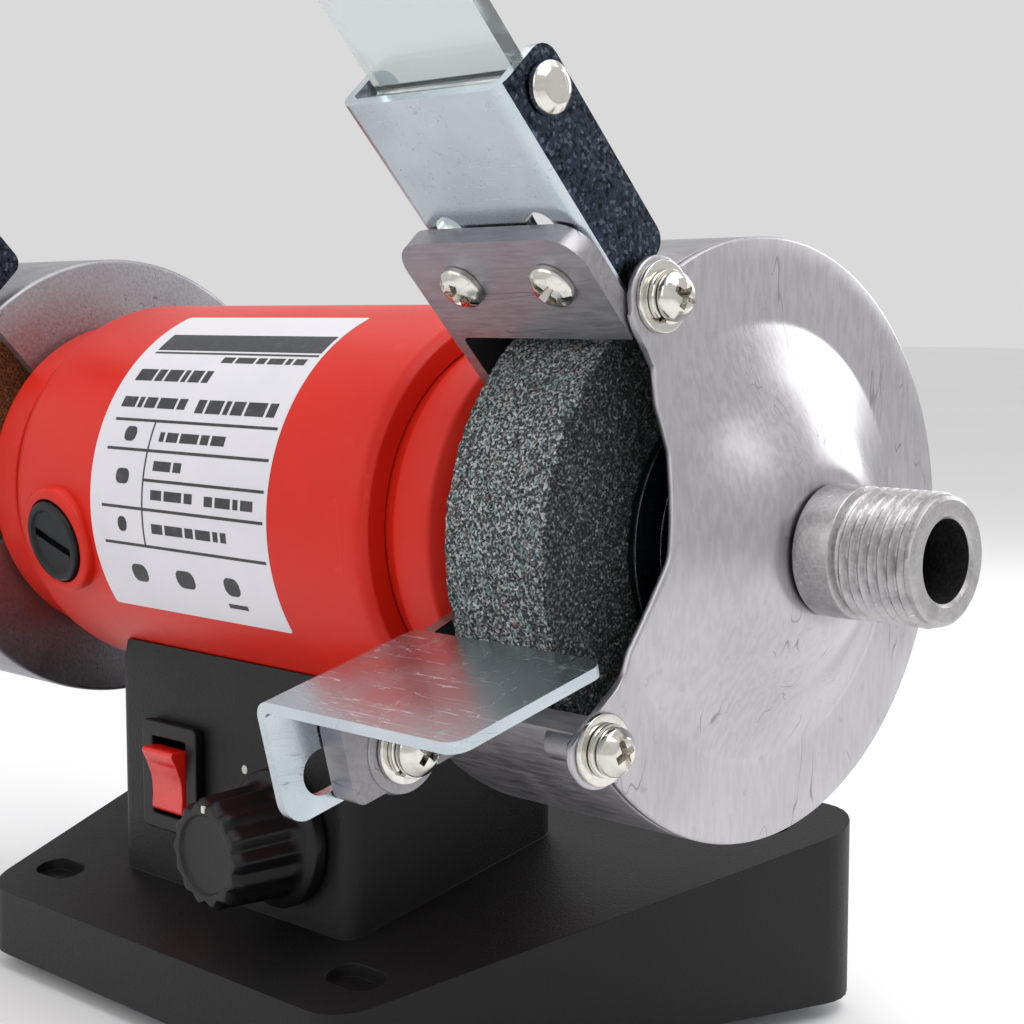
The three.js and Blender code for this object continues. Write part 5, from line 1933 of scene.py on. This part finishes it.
@dataclass
class Controls:
    """The rocker switch with its frame, and the speed knob with the mark beside it."""

    face: float = -22.0
    knob_x: float = 16.0
    knob_z: float = -54.0
    skirt: float = 11.5
    grip: float = 9.6
    flutes: int = 14
    flute_depth: float = 0.85
    rocker_tip: float = 11.0
    rocker_half: float = 4.45
    body_half: Pair = (5.9, 7.7)
    well_half: Pair = (4.9, 6.9)

    def build(self, wave: WaveRecipe) -> None:
        """Builds the switch, the knob and the marks."""
        self.build_switch()
        self.build_knob(wave)
        self.build_marks()

    def build_switch(self) -> None:
        """Makes the frame with its sunk well, and the rocker with a hollowed face."""
        low, high = span("switch_body")
        middle_x, middle_z = (low.x + high.x) / 2, (low.z + high.z) / 2
        rim = prism(panel((low.x, low.z), (high.x, high.z), 1.4), low.y, self.face - 0.3, Plane.FRONT)
        piece = stage_piece("switch_frame", rim)
        (wide, tall), (narrow, short) = self.body_half, self.well_half
        body = block((middle_x - wide, middle_x + wide), (self.face - 1, high.y),
                     (middle_z - tall, middle_z + tall))
        well = block((middle_x - narrow, middle_x + narrow), (low.y - 2, -15.5),
                     (middle_z - short, middle_z + short))
        combine(piece, "UNION", body)
        combine(piece, "DIFFERENCE", well)
        ease(piece, 0.35, 3, 50.0)
        settle(piece, FINISH.black_nylon, MACHINE, ["switch_body"])
        key = prism(rounded([
            (-2.6, -6.2, 0.7), (1.4, -5.2, 0.3), (1.4, 5.2, 0.3), (-2.6, 6.2, 0.7), (-1.75, 3.0, 3.0),
            (-1.3, 0.0, 6.0), (-1.75, -3.0, 3.0)], 4), -self.rocker_half, self.rocker_half, Plane.SIDE)
        tip = shift(middle_x, self.face - 1.4, middle_z) @ spin(self.rocker_tip, "X")
        rocker = stage_piece("rocker_key", key.moved(tip))
        ease(rocker, 0.35, 3, 50.0)
        settle(rocker, FINISH.rocker_red, "power_rocker", ["power_rocker"])

    def build_knob(self, wave: WaveRecipe) -> None:
        """Turns the knob on a fine grid and raises its flutes."""
        low, high = span("speed_knob")
        length = high.y - low.y
        rows = 16
        profile: list[Corner] = [(3.2, 0.0), (self.skirt, 0.0, 0.3), (self.skirt, 2.2, 0.5),
                                 (self.grip + 0.5, 3.0, 0.4)]
        profile += [(self.grip - 0.9 * k / rows * 0.6,
                     3.4 + (length - 4.6) * k / rows) for k in range(rows + 1)]
        profile += [(self.grip - 1.3, length, 0.5), (6.6, length, 0.3), (6.2, length - 0.5, 0.3),
                    (0, length - 0.5),
                    (0, 13.5), (3.2, 13.5)]
        piece = stage_piece("fluted_knob", turned(profile, 224))
        piece.data.shade_smooth()
        wave.run(piece, FINISH.black_nylon, Pitch_Turns=0.0, Rounds=float(self.flutes),
                 Depth=-self.flute_depth,
                 Start=3.6, End=length + 1.0, Fade=1.2, Inner=self.grip - 1.6)
        carry = shift(self.knob_x, high.y, self.knob_z) @ spin(-90.0, "Z")
        piece.data.transform(carry)
        settle(piece, FINISH.black_nylon, "speed_knob", ["speed_knob"], crease=50.0)
        line = block((self.knob_x - 0.45, self.knob_x + 0.45), (low.y - 0.04, low.y + 0.3),
                     (self.knob_z + 6.9, self.knob_z + 8.0))
        pointer = stage_piece("knob_pointer", line)
        settle(pointer, FINISH.white_mark, "speed_knob")

    def build_marks(self) -> None:
        """Prints the small round mark where the knob's scale starts."""
        dot = prism(circle(5.2, -44.6, 0.75, 28), self.face - 0.06, self.face + 0.2, Plane.FRONT)
        settle(stage_piece("scale_start_mark", dot), FINISH.white_mark, MACHINE)


# ---------------------------------------------------------------- inside parts


@dataclass
class KeptNodes:
    """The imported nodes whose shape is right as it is: they only get their finishes."""

    finishes: dict[str, Finish] = field(default_factory=lambda: {
        "rotor_shaft": FINISH.ground_steel, "armature": FINISH.lamination,
        "cooling_fan": FINISH.black_nylon,
        "inner_flange": FINISH.black_oxide, "wheel_nut": FINISH.ground_steel,
        "bearing": FINISH.ground_steel,
        "stator_core": FINISH.lamination, "field_coil": FINISH.copper, "carbon_brush": FINISH.carbon,
        "base_plate": FINISH.bottom_plate, "potentiometer": FINISH.ground_steel,
        "control_board": FINISH.board,
    })

    def dress(self) -> None:
        """Gives every kept node the finish that its name calls for."""
        for node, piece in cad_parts.items():
            for start, finish in self.finishes.items():
                if node.startswith(start):
                    for slot in piece.material_slots:
                        slot.material = finish.material()
                    LOG.info("%s keeps its packed shape in %s", node, finish.name)


# ---------------------------------------------------------------- studio


@dataclass
class Studio:
    """The camera, the soft lights and the pale floor. Places are from the middle of the motor."""

    eye: Triple = (265.2, -218.7, 32.1)
    heading: float = 44.9
    dip: float = 5.8
    lens: float = 68.2
    sensor: float = 36.0
    clip: Pair = (0.01, 20.0)
    floor_reach: float = 6.0
    surround: float = 0.7

    def build(self) -> None:
        """Sets up the camera, the floor, the world and the lamps."""
        self.build_camera()
        self.build_floor()
        self.build_world()
        self.lamp("key_softbox", (330, -60, 470), (60, 0, 0), (0.36, 0.36), 1.1)
        self.lamp("front_fill", (-120, -620, 300), (0, 0, -20), (0.7, 0.5), 1.0)
        self.lamp("top_light", (-60, 120, 620), (0, 0, 0), (0.8, 0.6), 1.6)
        self.lamp("rim_light", (160, 620, 240), (100, 0, 0), (0.5, 0.3), 1.3)

    def build_camera(self) -> None:
        """A level camera that looks along its heading, slightly down."""
        data = bpy.data.cameras.new("camera")
        data.lens = self.lens
        data.sensor_width = self.sensor
        data.clip_start, data.clip_end = self.clip
        camera = link_new("camera", data)
        camera.location = ORIGIN + Vector(self.eye) * MM
        camera.rotation_euler = (math.radians(90.0 - self.dip), 0.0, math.radians(self.heading))
        bpy.context.scene.camera = camera

    def build_floor(self) -> None:
        """A wide floor under the feet."""
        mesh = bpy.data.meshes.new("floor")
        reach = self.floor_reach
        mesh.from_pydata([(-reach, -reach, 0), (reach, -reach, 0), (reach, reach, 0),
                          (-reach, reach, 0)],
                         [], [(0, 1, 2, 3)])
        mesh.materials.append(FINISH.studio_floor.material())
        link_new("floor", mesh)

    def build_world(self) -> None:
        """An even white surround."""
        world = bpy.data.worlds.new("studio")
        world.use_nodes = True
        tree = world.node_tree
        tree.nodes.clear()
        glow = add_node(tree, "ShaderNodeBackground",
                        {"Color": linear("#ffffff"), "Strength": self.surround})
        add_node(tree, "ShaderNodeOutputWorld", {"Surface": glow.outputs[0]})
        bpy.context.scene.world = world
        bpy.context.scene.view_settings.view_transform = "Standard"

    def lamp(
        self,
        name: str,
        place: Triple,
        target: Triple,
        size: Pair,
        power: float,
    ) -> None:
        """Hangs a soft rectangular lamp.

        Args:
            name: Its name.
            place: Where it hangs, in millimetres from the middle of the motor.
            target: The point it faces, from the same place.
            size: Its width and height in metres.
            power: Its power in watts.
        """
        data = bpy.data.lights.new(name, "AREA")
        data.shape = "RECTANGLE"
        data.size, data.size_y = size
        data.energy = power
        light = link_new(name, data)
        light.location = ORIGIN + Vector(place) * MM
        aim = (Vector(target) - Vector(place)).normalized()
        light.rotation_euler = aim.to_track_quat("-Z", "Y").to_euler()


def main() -> None:
    """Builds every sub-assembly in order."""
    logging.basicConfig(level=logging.INFO, format="%(name)s: %(message)s")
    Studio().build()
    grit, wave, setter = GritRecipe(), WaveRecipe(), SetRecipe()
    Wheel("grinding_wheel_coarse", Side.RIGHT, FINISH.grey_grit, 0.8, 1.5, 3.0,
          skin=FINISH.grey_grit_side).build(grit)
    Wheel("grinding_wheel_fine", Side.LEFT, FINISH.brown_grit, 0.7, 0.7, 8.0).build(grit)
    Motor().build()
    RatingLabel().build()
    for side in Side:
        WheelClamp(side).build()
        GuardCasting(side).build()
        GuardCover(side).build()
        ShieldBracket(side).build()
        ToolRest(side).build()
    DriveOutlet().build(wave)
    Fasteners().build(setter)
    Base().build(setter)
    Controls().build(wave)
    KeptNodes().dress()


if __name__ == "__main__":
    main()
